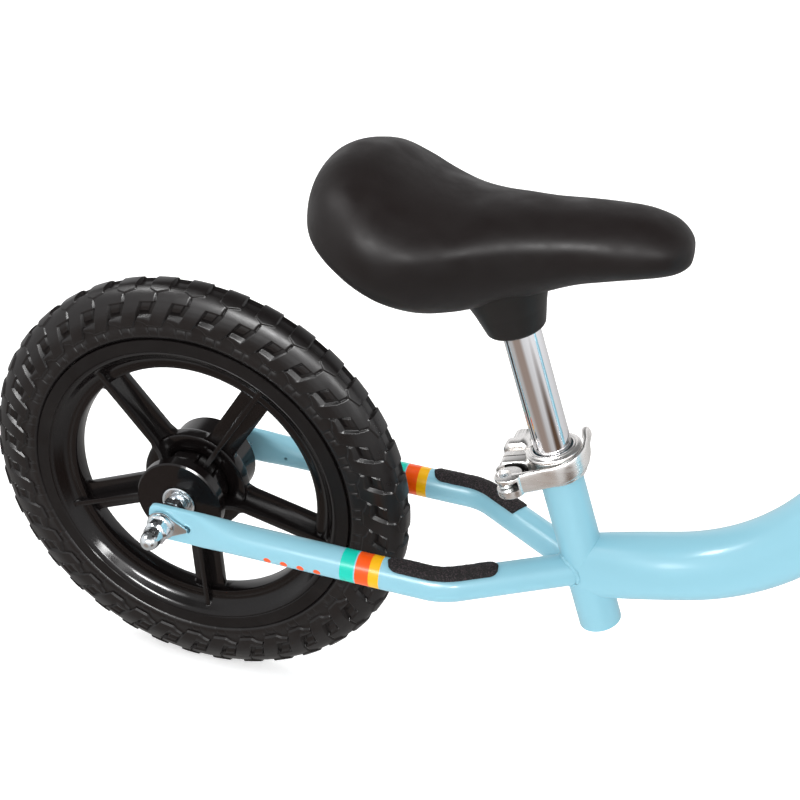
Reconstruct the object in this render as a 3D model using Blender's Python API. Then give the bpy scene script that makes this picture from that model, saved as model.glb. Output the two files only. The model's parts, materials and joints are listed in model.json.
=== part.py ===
"""Child's balance bike: a sky-blue tube frame on two one-piece plastic wheels with foam tyres.

Metres, +X forward, +Y to the bike's left, +Z up. The ground is z = 0 and the origin is midway between the tyres.
Lengths below are in millimetres, with x and z measured from the rear axle.
"""

import math

import bmesh
import bpy
from mathutils import Vector

for old in list(bpy.data.objects):
    bpy.data.objects.remove(old)

GAP = 0.3

# Wheels
WHEEL_RADIUS = 142.0
WHEELBASE = 590.0
RIM_RADIUS = 107.6
RIM_HALF_WIDTH = 13.7
WEB_INNER_RADIUS = 83.5
HUB_DISC_RADIUS = 28.6
HUB_DISC_Y = 28.0
SPOKES = 5
SPOKE_PHASE = math.radians(57.6)
WHEEL_SEGMENTS = 32

# Tubes
STAY_R = 9.525
STAY_Y = 48.0
STAY_BEND_X = 177.0
SEAT_TUBE_R = 12.7
POST_R = 11.1
MAIN_TUBE_R = 19.5
HEAD_TUBE_R = 17.0
STEERER_R = 12.7
WALL = 1.5

# Seat tube axis: a point where it meets the main tube, and its lean
SEAT_BASE = Vector((251.0, 0.0, -2.5))
SEAT_LEAN = math.radians(16.6)
SEAT_TUBE_BOTTOM = -43.0
SEAT_TUBE_TOP = 75.0
POST_BOTTOM = 20.0
POST_TOP = 174.0
BOSS_BOTTOM = 156.0

# Steering axis
HEAD_ANGLE = math.radians(68.0)
FORK_OFFSET = 28.0
HEAD_TUBE_SPAN = (192.0, 288.0)
CROWN_SPAN = (149.0, 176.0)
STEERER_SPAN = (151.0, 328.0)
BAR_POST_SPAN = (236.0, 433.0)
BAR_S = 436.0
BAR_HALF_WIDTH = 205.0

X_AXIS, Y_AXIS, Z_AXIS = Vector((1, 0, 0)), Vector((0, 1, 0)), Vector((0, 0, 1))
SEAT_UP = Vector((-math.sin(SEAT_LEAN), 0, math.cos(SEAT_LEAN)))
SEAT_FWD = Vector((math.cos(SEAT_LEAN), 0, math.sin(SEAT_LEAN)))
HEAD_UP = Vector((-math.cos(HEAD_ANGLE), 0, math.sin(HEAD_ANGLE)))
HEAD_FWD = Vector((math.sin(HEAD_ANGLE), 0, math.cos(HEAD_ANGLE)))
REAR_AXLE = Vector((0, 0, 0))
FRONT_AXLE = Vector((WHEELBASE, 0, 0))
HEAD_BASE = FRONT_AXLE - HEAD_FWD * FORK_OFFSET


def seat_point(forward, y, up):
    return SEAT_BASE + SEAT_FWD * forward + Y_AXIS * y + SEAT_UP * up


def head_point(forward, y, up):
    return HEAD_BASE + HEAD_FWD * forward + Y_AXIS * y + HEAD_UP * up


def to_world(p):
    return Vector(((p.x - WHEELBASE / 2) / 1000, p.y / 1000, (p.z + WHEEL_RADIUS) / 1000))


# Materials: colour, roughness, metallic
MATERIALS = {
    "blue_paint": ((0.42, 0.74, 0.84), 0.25, 0.0),
    "black_gloss": ((0.012, 0.012, 0.013), 0.2, 0.0),
    "black_paint": ((0.014, 0.014, 0.015), 0.25, 0.0),
    "foam_tyre": ((0.02, 0.02, 0.022), 0.6, 0.0),
    "saddle_skin": ((0.018, 0.017, 0.017), 0.5, 0.0),
    "black_plastic": ((0.02, 0.02, 0.02), 0.45, 0.0),
    "grit": ((0.03, 0.028, 0.03), 0.95, 0.0),
    "chrome": ((0.8, 0.8, 0.82), 0.08, 1.0),
    "zinc": ((0.72, 0.74, 0.76), 0.25, 1.0),
    "alloy": ((0.82, 0.81, 0.79), 0.2, 1.0),
    "grip_rubber": ((0.025, 0.025, 0.027), 0.8, 0.0),
}


def material(name, slot):
    colour, rough, metal = MATERIALS[slot]
    made = bpy.data.materials.new(name + "_mat")
    made.use_nodes = True
    shader = made.node_tree.nodes["Principled BSDF"]
    shader.inputs["Base Color"].default_value = (*colour, 1)
    shader.inputs["Roughness"].default_value = rough
    shader.inputs["Metallic"].default_value = metal
    made.diffuse_color = (*colour, 1)
    return made


def raw(verts, faces):
    """A closed object whose mesh is in millimetres, faces turned outward."""
    mesh = bpy.data.meshes.new("raw")
    mesh.from_pydata([tuple(v) for v in verts], [], faces)
    bm = bmesh.new()
    bm.from_mesh(mesh)
    bmesh.ops.remove_doubles(bm, verts=bm.verts, dist=1e-4)
    bmesh.ops.recalc_face_normals(bm, faces=bm.faces)
    bm.to_mesh(mesh)
    bm.free()
    made = bpy.data.objects.new("raw", mesh)
    bpy.context.scene.collection.objects.link(made)
    return made


def rings_solid(rings, closed_loop=False):
    """Skin a list of equal vertex rings. Open lists get end caps, a closed loop joins its last ring to the first."""
    count = len(rings[0])
    verts = [v for ring in rings for v in ring]
    faces = []
    last = len(rings) if closed_loop else len(rings) - 1
    for i in range(last):
        a, b = i * count, (i + 1) % len(rings) * count
        for k in range(count):
            n = (k + 1) % count
            faces.append((a + k, a + n, b + n, b + k))
    if not closed_loop:
        faces.append(tuple(reversed(range(count))))
        faces.append(tuple(range(len(verts) - count, len(verts))))
    return raw(verts, faces)


def lathe(profile, centre, axis, side=Y_AXIS, segments=32, offset=0.5):
    """Revolve (radius, height) points. A third number gives that point flats, as on a hexagon of so many sides."""
    axis = axis.normalized()
    if abs(side.dot(axis)) > 0.99:
        side = Z_AXIS
    side = (side - axis * side.dot(axis)).normalized()
    other = axis.cross(side)
    closed = min(point[0] for point in profile) > 0
    step = 2 * math.pi / segments
    columns = []
    for k in range(segments):
        angle = (k + offset) * step
        column = []
        for point in profile:
            radius = point[0]
            if len(point) > 2:
                part = 2 * math.pi / point[2]
                radius /= math.cos((angle + part / 2) % part - part / 2)
            column.append(centre + axis * point[1] + (side * math.cos(angle) + other * math.sin(angle)) * radius)
        columns.append(column)
    if closed:
        return rings_solid(columns, closed_loop=True)
    faces, verts = [], [v for column in columns for v in column]
    size = len(profile)
    for k in range(segments):
        a, b = k * size, (k + 1) % segments * size
        faces.extend((a + j, a + j + 1, b + j + 1, b + j) for j in range(size - 1))
    made = raw(verts, faces)
    bm = bmesh.new()
    bm.from_mesh(made.data)
    bmesh.ops.dissolve_degenerate(bm, dist=1e-4, edges=bm.edges)
    bm.to_mesh(made.data)
    bm.free()
    return made


def rod(start, end, radius, segments=24, side=Y_AXIS):
    axis = end - start
    return lathe([(0, 0), (radius, 0), (radius, axis.length), (0, axis.length)], start, axis, side, segments)


def pipe(start, end, outer, inner, segments=24, side=Y_AXIS):
    length = (end - start).length
    profile = [(outer, 0), (outer, length), (inner, length), (inner, 0)]
    return lathe(profile, start, end - start, side, segments)


def box(centre, half, axes=(X_AXIS, Y_AXIS, Z_AXIS)):
    corners = []
    for i in (-1, 1):
        for j in (-1, 1):
            for k in (-1, 1):
                corners.append(centre + axes[0] * i * half[0] + axes[1] * j * half[1] + axes[2] * k * half[2])
    faces = [(0, 1, 3, 2), (4, 6, 7, 5), (0, 4, 5, 1), (2, 3, 7, 6), (0, 2, 6, 4), (1, 5, 7, 3)]
    return raw(corners, faces)


def extrude(outline, normal, depth):
    """A flat outline pushed along normal by depth."""
    back = [p + normal * depth for p in outline]
    return rings_solid([outline, back])


def combine(base, others, operation="DIFFERENCE"):
    """Boolean each of the others into base, and drop them."""
    for other in others:
        step = base.modifiers.new("bool", "BOOLEAN")
        step.operation, step.object, step.solver = operation, other, "EXACT"
        bpy.context.view_layer.update()
        graph = bpy.context.evaluated_depsgraph_get()
        mesh = bpy.data.meshes.new_from_object(base.evaluated_get(graph))
        base.modifiers.clear()
        base.data = mesh
        bpy.data.objects.remove(other)
    return base


def cut(base, *others):
    return combine(base, others)


def join(base, *others):
    return combine(base, others, "UNION")


def node(name, made, slot, pivot=None):
    """Name a finished piece, turn it to metres, and put its origin on its joint's axis."""
    origin = to_world(pivot) if pivot else Vector((0, 0, 0))
    for v in made.data.vertices:
        v.co = to_world(v.co) - origin
    made.name = made.data.name = name
    made.location = origin
    made.data.materials.clear()
    made.data.materials.append(material(name, slot))
    return made


def filleted(corners, radii, steps=6):
    """A path through the corners with each inner corner rounded to its radius."""
    path = [corners[0]]
    for before, corner, after, radius in zip(corners, corners[1:], corners[2:], radii):
        back, ahead = (before - corner).normalized(), (after - corner).normalized()
        half = back.angle(ahead) / 2
        reach = radius / math.tan(half)
        middle = corner + (back + ahead).normalized() * radius / math.sin(half)
        first, last = corner + back * reach - middle, corner + ahead * reach - middle
        turn = first.angle(last)
        for k in range(steps + 1):
            t = k / steps
            spoke = (first * math.sin((1 - t) * turn) + last * math.sin(t * turn)) / math.sin(turn)
            path.append(middle + spoke)
    path.append(corners[-1])
    return path


def frames(path, ref):
    """(side, up) for each path point, with side square to both the path and ref."""
    found = []
    for i in range(len(path)):
        tangent = (path[min(i + 1, len(path) - 1)] - path[max(i - 1, 0)]).normalized()
        side = tangent.cross(ref).normalized()
        found.append((side, side.cross(tangent)))
    return found


def section(point, side, up, a, b, power, segments):
    ring = []
    for k in range(segments):
        angle = 2 * math.pi * (k + 0.5) / segments
        c, s = math.cos(angle), math.sin(angle)
        c, s = math.copysign(abs(c) ** (2 / power), c), math.copysign(abs(s) ** (2 / power), s)
        ring.append(point + side * c * a + up * s * b)
    return ring


def sweep(path, sizes, ref, wall=0.0, blind=0, segments=16):
    """A tube along path. sizes holds (half width, half height, squareness) per point.

    With a wall it is hollow and open at its end; blind is how many points at its start stay solid.
    """
    axes = frames(path, ref)
    outer = [section(p, *f, *z, segments) for p, f, z in zip(path, axes, sizes)]
    if not wall:
        return rings_solid(outer)
    inner = []
    for p, f, (a, b, power) in list(zip(path, axes, sizes))[blind:]:
        inner.append(section(p, *f, a - wall, b - wall, power, segments))
    inner.reverse()
    if blind:
        return rings_solid(outer + inner)
    return rings_solid(outer + inner, closed_loop=True)


# ---------------------------------------------------------------- wheels

TYRE_PROFILE = [(RIM_RADIUS + GAP, 13.5), (116, 14.4), (128, 13.9), (137.2, 10.0), (142, 4.6)]
RIM_PROFILE = [(RIM_RADIUS, RIM_HALF_WIDTH), (98.5, RIM_HALF_WIDTH), (88.5, 5.5), (WEB_INNER_RADIUS, 5.0)]


def mirrored(half):
    return half + [(r, -y) for r, y in reversed(half)]


def tyre(axle):
    """Closed foam ring, whose bottom facet lies flat on the ground."""
    grow = 1 / math.cos(math.pi / WHEEL_SEGMENTS)
    profile = [(r * grow, y) for r, y in mirrored(TYRE_PROFILE)]
    profile[0] = (profile[0][0] + 0.1, profile[0][1])
    profile[-1] = (profile[-1][0] + 0.1, profile[-1][1])
    return lathe(profile, axle, Y_AXIS, -Z_AXIS, WHEEL_SEGMENTS)


def rim(axle):
    """One moulding: channel, web, five T-section spokes and the hub with its two end discs."""
    made = lathe(mirrored(RIM_PROFILE), axle, Y_AXIS, -Z_AXIS, WHEEL_SEGMENTS)
    hub = [(11.3, HUB_DISC_Y - 7), (11.3, HUB_DISC_Y), (HUB_DISC_RADIUS, HUB_DISC_Y),
           (HUB_DISC_RADIUS, HUB_DISC_Y - 8), (23, HUB_DISC_Y - 10), (23, 5), (35.0, 4.5)]
    hub = mirrored(hub)
    hub += [(6.5, -(HUB_DISC_Y - 7)), (6.5, HUB_DISC_Y - 7)]
    pieces = [lathe(hub, axle, Y_AXIS, -Z_AXIS, 20)]
    for k in range(SPOKES):
        angle = SPOKE_PHASE + 2 * math.pi * k / SPOKES
        out = Vector((math.cos(angle), 0, math.sin(angle)))
        across = Vector((-math.sin(angle), 0, math.cos(angle)))
        pieces.append(box(axle + out * 58.5, (26.5, 2.0, 10.0), (out, Y_AXIS, across)))
        rib = [(20, -19), (30, -13), (60, -10), (94, -9.5), (94, 9.5), (60, 10), (30, 13), (20, 19)]
        outline = [axle + out * r + Y_AXIS * y - across * 1.75 for r, y in rib]
        pieces.append(extrude(outline, across, 3.5))
    return join(made, *pieces)


def bearing(axle, sign):
    profile = [(11.0, 21.0), (11.0, 28.4), (8.6, 28.4), (7.6, 26.6), (4.4, 26.6), (4.4, 21.0)]
    return lathe([(r, y * sign) for r, y in profile], axle, Y_AXIS, -Z_AXIS, 20)


def cone(axle, sign):
    """Cone and lock nut between the bearing and the frame end."""
    profile = [(6.4, 27.2), (6.4, 38.6), (7.6, 38.6, 6), (7.6, 44.8, 6), (4.3, 44.8), (4.3, 27.2)]
    return lathe([(p[0], p[1] * sign, *p[2:]) for p in profile], axle, Y_AXIS, -Z_AXIS, 12, 0)


WASHER_IN, WASHER_OUT = 51.0, 52.6


def tab_washer(axle, sign, ahead):
    """Flat washer with a tongue that hooks into the frame end's small hole."""
    down = ahead.cross(Y_AXIS)
    outline = []
    for k in range(11):
        angle = math.radians(48 + 264 * k / 10)
        outline.append(axle + ahead * 8.9 * math.cos(angle) + down * 8.9 * math.sin(angle))
    outline += [axle + ahead * 15.6 - down * 2.2, axle + ahead * 17.2 - down * 1.4,
                axle + ahead * 17.2 + down * 1.4, axle + ahead * 15.6 + down * 2.2]
    start = Y_AXIS * sign * WASHER_IN
    plate = extrude([p + start for p in outline], Y_AXIS * sign, WASHER_OUT - WASHER_IN)
    hook = box(axle + ahead * 16.2 + Y_AXIS * sign * 50.5, (1.0, 1.4, 1.4), (ahead, Y_AXIS, down))
    hole = rod(axle + Y_AXIS * sign * 45, axle + Y_AXIS * sign * 60, 4.3)
    return cut(join(plate, hook), hole)


def dome_nut(axle, sign):
    """Flanged hexagon nut closed by a dome."""
    y = WASHER_OUT + GAP
    profile = [(0, 66.5), (4.4, 66.5), (4.4, y), (8.6, y), (8.6, y + 1.8), (7.0, y + 1.8, 6), (7.0, y + 8.4, 6),
               (5.8, y + 9.2), (5.6, y + 14.0), (4.0, y + 18.6), (0, y + 20.6)]
    return lathe([(p[0], p[1] * sign, *p[2:]) for p in profile], axle, Y_AXIS, -Z_AXIS, 12, 0)


def wheel(end, axle, ahead):
    """Everything on one axle. ahead points from the axle along the frame end that holds it."""
    node(end + "_tyre", tyre(axle), "foam_tyre", axle)
    node(end + "_rim", rim(axle), "black_gloss", axle)
    node(end + "_axle", rod(axle - Y_AXIS * 66, axle + Y_AXIS * 66, 4.0, 12, -Z_AXIS), "zinc", axle)
    for sign, hand in ((-1, "right"), (1, "left")):
        node(f"{end}_bearing_{hand}", bearing(axle, sign), "zinc", axle)
        node(f"{end}_cone_{hand}", cone(axle, sign), "zinc", axle)
        node(f"{end}_tab_washer_{hand}", tab_washer(axle, sign, ahead), "zinc", axle)
        node(f"{end}_dome_nut_{hand}", dome_nut(axle, sign), "zinc", axle)


# ---------------------------------------------------------------- frame

STAY_DROP = -0.03
FLAT_THICKNESS = 2.4
FLAT_HEIGHT = 12.0


def stay_point(x, y):
    return Vector((x, y, STAY_DROP * x))


def stay_path(sign):
    """From the dropout along the wheel, then inward to the seat tube."""
    corners = [stay_point(-9, sign * STAY_Y), stay_point(STAY_BEND_X, sign * 47.0), stay_point(252.2, 0)]
    start, bend, end = corners
    ahead = (bend - start).normalized()
    path = [start, start + ahead * 2.5, start + ahead * 20, start + ahead * 30, start + ahead * 42,
            start + ahead * 60]
    return path[:-1] + filleted([path[-1], bend, end], [34.0], 4)


def stay(sign):
    """Tube flattened at its rear end, slotted for the axle and drilled for the washer's tongue."""
    path = stay_path(sign)
    sizes = [(FLAT_THICKNESS, 9.4, 4), (FLAT_THICKNESS, FLAT_HEIGHT, 4), (FLAT_THICKNESS, FLAT_HEIGHT, 4),
             (3.6, 11.7, 3), (7.2, 10.6, 2.2)]
    sizes += [(STAY_R, STAY_R, 2)] * (len(path) - len(sizes))
    made = sweep(path, sizes, Z_AXIS, WALL, blind=5, segments=14)
    y = Y_AXIS * sign * STAY_Y
    cuts = [rod(seat_point(0, 0, -60), seat_point(0, 0, 60), SEAT_TUBE_R + GAP),
            box(Vector((250, -sign * 29.85, 0)), (60, 30, 60)),
            box(y - X_AXIS * 10, (10, 12, 4.3)),
            rod(y - Y_AXIS * 12.5, y + Y_AXIS * 12.5, 4.5, 16),
            rod(y + X_AXIS * 16.2 - Y_AXIS * 12, y + X_AXIS * 16.2 + Y_AXIS * 12, 2.6, 12)]
    return cut(made, *cuts)


def foot_grip(sign):
    """Gritty strip stuck along the top of a stay's bend, ends rounded."""
    path = [p for p in stay_path(sign) if p.x > 100]
    corners = [stay_point(140, sign * 47.2), stay_point(STAY_BEND_X, sign * 47.0), stay_point(252.2, 0)]
    bend = filleted(corners, [34.0], 4)[1:-1]
    first = [stay_point(x, sign * (STAY_Y - (STAY_Y - 47.0) * x / STAY_BEND_X)) for x in (144, 145.5, 149)]
    away = (corners[2] - corners[1]).normalized()
    last = [bend[-1] + away * d for d in (7, 14, 18, 20.5, 22)]
    path = first + [p for p in bend if p.x > 152] + last
    widths = [0.3, 0.7, 1.0] + [1.0] * (len(path) - 6) + [0.9, 0.65, 0.3]
    rings = []
    for p, (side, up), w in zip(path, frames(path, Z_AXIS), widths):
        ring = []
        for radius, order in ((STAY_R + GAP + 0.1, 1), (STAY_R + GAP + 1.1, -1)):
            for k in range(5):
                angle = math.radians(38 * w * order * (k / 2 - 1))
                ring.append(p + side * radius * math.sin(angle) + up * radius * math.cos(angle))
        rings.append(ring)
    return rings_solid(rings)


def seat_tube():
    made = pipe(seat_point(0, 0, SEAT_TUBE_BOTTOM), seat_point(0, 0, SEAT_TUBE_TOP), SEAT_TUBE_R, POST_R + GAP, 24)
    slit = box(seat_point(-12, 0, SEAT_TUBE_TOP - 10), (4, 1.2, 20), (SEAT_FWD, Y_AXIS, SEAT_UP))
    return cut(made, slit)


MAIN_VERTEX = Vector((356.5, 0, 18.6))


def main_tube():
    """Big tube from the seat tube, curving up to the head tube, its rear end pressed to the seat tube's width."""
    start = Vector((251.2, 0, -6.2))
    end = head_point(0, 0, 229)
    path = filleted([start, MAIN_VERTEX, end], [130.0], 6)
    ahead = (MAIN_VERTEX - start).normalized()
    path = [start, start + ahead * 18, start + ahead * 32, start + ahead * 46] + path[1:]
    sizes = [(14.0, MAIN_TUBE_R, 2.6), (15.2, MAIN_TUBE_R, 2.5), (17.6, MAIN_TUBE_R, 2.2)]
    sizes += [(MAIN_TUBE_R, MAIN_TUBE_R, 2)] * (len(path) - 3)
    made = sweep(path, sizes, Z_AXIS, WALL, segments=18)
    return cut(made, rod(seat_point(0, 0, -60), seat_point(0, 0, 60), SEAT_TUBE_R + GAP, 24),
               rod(head_point(0, 0, 150), head_point(0, 0, 300), HEAD_TUBE_R + GAP, 24))


def frame():
    node("main_tube", main_tube(), "blue_paint")
    node("seat_tube", seat_tube(), "blue_paint")
    head = pipe(head_point(0, 0, HEAD_TUBE_SPAN[0]), head_point(0, 0, HEAD_TUBE_SPAN[1]), HEAD_TUBE_R, 15.2, 24)
    node("head_tube", head, "blue_paint")
    for sign, hand in ((-1, "right"), (1, "left")):
        node("chainstay_" + hand, stay(sign), "blue_paint")
        node("foot_grip_" + hand, foot_grip(sign), "grit")
    low, high = HEAD_TUBE_SPAN
    cup = [(HEAD_TUBE_R + 0.6, GAP), (HEAD_TUBE_R + 2, 4), (HEAD_TUBE_R + 1.4, 8), (14.2, 8), (14.2, GAP)]
    node("headset_cup_lower", lathe([(r, -h) for r, h in cup], head_point(0, 0, low), HEAD_UP, segments=20), "chrome")
    node("headset_cup_upper", lathe(cup, head_point(0, 0, high), HEAD_UP, segments=20), "chrome")


# ---------------------------------------------------------------- seat clamp and saddle

PIVOT_F, PIVOT_Y, LEVER_S = -26.5, -19.0, 66.5


def collar(point, axes, base, height, inner, ear_reach):
    """Split clamp ring with a top flange and two ears with a cross hole, at base on its axis."""
    fwd, up = axes
    profile = [(inner, 0), (inner + 3.4, 0), (inner + 3.4, height - 4), (inner + 5.2, height - 3.2),
               (inner + 5.2, height - 0.8), (inner + 4.4, height), (inner, height)]
    ring = lathe(profile, point(0, 0, base), up, Y_AXIS, 24)
    front = inner + 1.3
    ears = box(point(-(front + ear_reach) / 2, 0, base + height / 2 - 1), ((ear_reach - front) / 2, 8, 6.5),
               (fwd, Y_AXIS, up))
    made = join(ring, ears)
    slit = box(point(-inner - 12, 0, base + height / 2), (14.5, 1.3, height), (fwd, Y_AXIS, up))
    hole = rod(point(PIVOT_F, -30, base + height / 2 - 1), point(PIVOT_F, 30, base + height / 2 - 1), 2.8, 12, up)
    return cut(made, slit, hole)


def seat_clamp():
    clamp = collar(seat_point, (SEAT_FWD, SEAT_UP), 57.5, 20.0, SEAT_TUBE_R + GAP, 33.5)
    node("seat_collar", clamp, "alloy")
    rod_part = rod(seat_point(PIVOT_F, PIVOT_Y + 2, LEVER_S), seat_point(PIVOT_F, 30, LEVER_S), 2.5, 12, SEAT_UP)
    eye = rod(seat_point(PIVOT_F, PIVOT_Y, LEVER_S - 2.2), seat_point(PIVOT_F, PIVOT_Y, LEVER_S + 2.2), 4.6, 16)
    hole = rod(seat_point(PIVOT_F, PIVOT_Y, 50), seat_point(PIVOT_F, PIVOT_Y, 80), 2.5, 16)
    node("seat_skewer", cut(join(rod_part, eye), hole), "zinc")
    nut = [(2.8, 8.3), (6.4, 8.3), (8.6, 12.0), (8.6, 16.5), (6.2, 17.6), (5.4, 29.4), (4.0, 31), (2.8, 31)]
    nut = lathe(nut, seat_point(PIVOT_F, 0, LEVER_S), Y_AXIS, SEAT_UP, 16)
    node("seat_skewer_nut", nut, "alloy")
    pin = rod(seat_point(PIVOT_F, PIVOT_Y, LEVER_S - 7.6), seat_point(PIVOT_F, PIVOT_Y, LEVER_S + 7.6), 2.2, 16)
    node("seat_lever_pin", pin, "zinc")
    node("seat_lever", lever(), "alloy", seat_point(PIVOT_F, PIVOT_Y, LEVER_S))


def lever():
    """Cam head around the pin, and a flat arm that wraps the collar's near side and curls out at its tip."""
    head = rod(seat_point(PIVOT_F, PIVOT_Y, LEVER_S - 7.5), seat_point(PIVOT_F, PIVOT_Y, LEVER_S + 7.5), 7.4, 20)
    reach = 18.9
    path = [seat_point(PIVOT_F + 1, PIVOT_Y - 3.6, LEVER_S), seat_point(-16, -22.8, LEVER_S)]
    for degrees in range(-105, 26, 18):
        angle = math.radians(degrees)
        path.append(seat_point(reach * math.cos(angle), reach * math.sin(angle), LEVER_S))
    path += [seat_point(16.4, 11.0, LEVER_S), seat_point(15.4, 15.0, LEVER_S + 0.8),
             seat_point(15.6, 18.4, LEVER_S + 2.0), seat_point(17.0, 20.8, LEVER_S + 3.0)]
    sizes = [(2.2, 6.6, 5), (2.0, 6.6, 5)] + [(1.8, 6.2, 5)] * (len(path) - 4) + [(1.8, 6.4, 5), (1.6, 5.6, 5)]
    arm = sweep(path, sizes, SEAT_UP, segments=8)
    made = join(head, arm)
    slot = box(seat_point(PIVOT_F, PIVOT_Y + 3, LEVER_S), (9, 8.6, 2.6), (SEAT_FWD, Y_AXIS, SEAT_UP))
    swing = box(seat_point(PIVOT_F - 5, PIVOT_Y - 5, LEVER_S), (5, 5, 2.9), (SEAT_FWD, Y_AXIS, SEAT_UP))
    hole = rod(seat_point(PIVOT_F, PIVOT_Y, 50), seat_point(PIVOT_F, PIVOT_Y, 80), 2.5, 16)
    ears = box(seat_point(-20, 0, LEVER_S), (14, 8.4, 12), (SEAT_FWD, Y_AXIS, SEAT_UP))
    return cut(made, slot, swing, hole, ears)


# Saddle stations: x, half width, centre z, height above it, depth below it
SADDLE = [
    (87.5, 8, 208.5, 7, 6), (90, 24, 208.5, 18.5, 10.5), (95, 36, 208, 28, 15.5), (102.5, 46, 207, 35, 21),
    (113, 54, 205, 39.5, 26.5), (126, 60, 204, 39.5, 34), (140, 61, 203, 33.5, 40), (156, 56.5, 203, 25, 44.5),
    (172, 48, 204, 19.5, 45), (188, 40, 205.5, 17.5, 42), (204, 34.5, 207, 17.5, 37), (220, 31, 208, 17.2, 31),
    (238, 29, 209.5, 17.2, 25), (256, 28, 210.5, 16.8, 21.2), (271, 26.2, 211, 16, 18), (284, 22.5, 211, 13.5, 15),
    (292, 16.5, 210, 10.5, 12), (297.5, 7.5, 209, 6, 7)]


def saddle_ring(station, grow=0.0, segments=24):
    x, half, middle, above, below = station
    ring = []
    for k in range(segments):
        angle = 2 * math.pi * (k + 0.5) / segments
        c, s = math.cos(angle), math.sin(angle)
        y = math.copysign(abs(c) ** 0.9, c) * (half + grow)
        z = math.copysign(abs(s) ** 0.9, s) * ((above if s > 0 else below) + grow)
        ring.append(Vector((x, y, middle + z)))
    return ring


def saddle_body(grow=0.0):
    rings = [saddle_ring(station, grow) for station in SADDLE]
    return rings_solid(rings)


def base_plate(grow=0.0, drop=0.0):
    """Hard plate let into the saddle's underside."""
    rings = []
    for x, half, middle, above, below in SADDLE[5:15]:
        w = half * 0.52 + grow
        low, high = middle - below * 0.80 - drop - grow, middle - below * 0.62 + grow
        rings.append([Vector((x, y, z)) for y, z in ((-w, low), (w, low), (w, high), (-w, high))])
    rings[0] = [v - X_AXIS * grow for v in rings[0]]
    rings[-1] = [v + X_AXIS * grow for v in rings[-1]]
    return rings_solid(rings)


def seat():
    pivot = seat_point(0, 0, SEAT_TUBE_TOP)
    post = pipe(seat_point(0, 0, POST_BOTTOM), seat_point(0, 0, POST_TOP), POST_R, POST_R - 1.6, 24)
    node("seat_post", post, "chrome", pivot)
    node("saddle", cut(saddle_body(), base_plate(GAP, 40.0)), "saddle_skin", pivot)
    node("saddle_base", base_plate(), "black_plastic", pivot)
    profile = [(0, 0), (15.4, 0), (17.0, 1.4), (20.5, 14), (26, 30), (27, 40), (0, 40)]
    boss = lathe(profile, seat_point(-2.0, 0, BOSS_BOTTOM), SEAT_UP, Y_AXIS, 24)
    socket = rod(seat_point(0, 0, BOSS_BOTTOM - 5), seat_point(0, 0, POST_TOP + GAP), POST_R + GAP, 24)
    node("saddle_boss", cut(boss, saddle_body(GAP), base_plate(GAP, 0.0), socket), "black_plastic", pivot)


# ---------------------------------------------------------------- fork and handlebar

STEER_PIVOT = HEAD_BASE + HEAD_UP * HEAD_TUBE_SPAN[0]


def leg_path(sign):
    foot = FRONT_AXLE + Y_AXIS * sign * STAY_Y
    ankle = head_point(0, sign * 34, 152)
    ahead = Vector((ankle.x - foot.x, 0, ankle.z - foot.z)).normalized()
    start = foot - ahead * 9
    path = [start, start + ahead * 2.5, start + ahead * 20, start + ahead * 30, start + ahead * 42]
    return path + filleted([start + ahead * 60, ankle, head_point(0, 0, 170)], [20.0], 4)


def fork_leg(sign):
    path = leg_path(sign)
    ahead = (path[5] - path[0]).normalized()
    sizes = [(FLAT_THICKNESS, 9.4, 4), (FLAT_THICKNESS, FLAT_HEIGHT, 4), (FLAT_THICKNESS, FLAT_HEIGHT, 4),
             (3.6, 11.7, 3), (7.2, 10.6, 2.2)]
    sizes += [(STAY_R, STAY_R, 2)] * (len(path) - len(sizes))
    made = sweep(path, sizes, HEAD_FWD, WALL, blind=5, segments=14)
    foot = FRONT_AXLE + Y_AXIS * sign * STAY_Y
    across = ahead.cross(Y_AXIS)
    return cut(made, rod(head_point(0, 0, 130), head_point(0, 0, 200), 15.6 + GAP, 24),
               box(foot - ahead * 10, (10, 14, 4.3), (ahead, Y_AXIS, across)),
               rod(foot - Y_AXIS * 14.5, foot + Y_AXIS * 14.5, 4.5, 16),
               rod(foot + ahead * 16.2 - Y_AXIS * 14, foot + ahead * 16.2 + Y_AXIS * 14, 2.6, 12))


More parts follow.
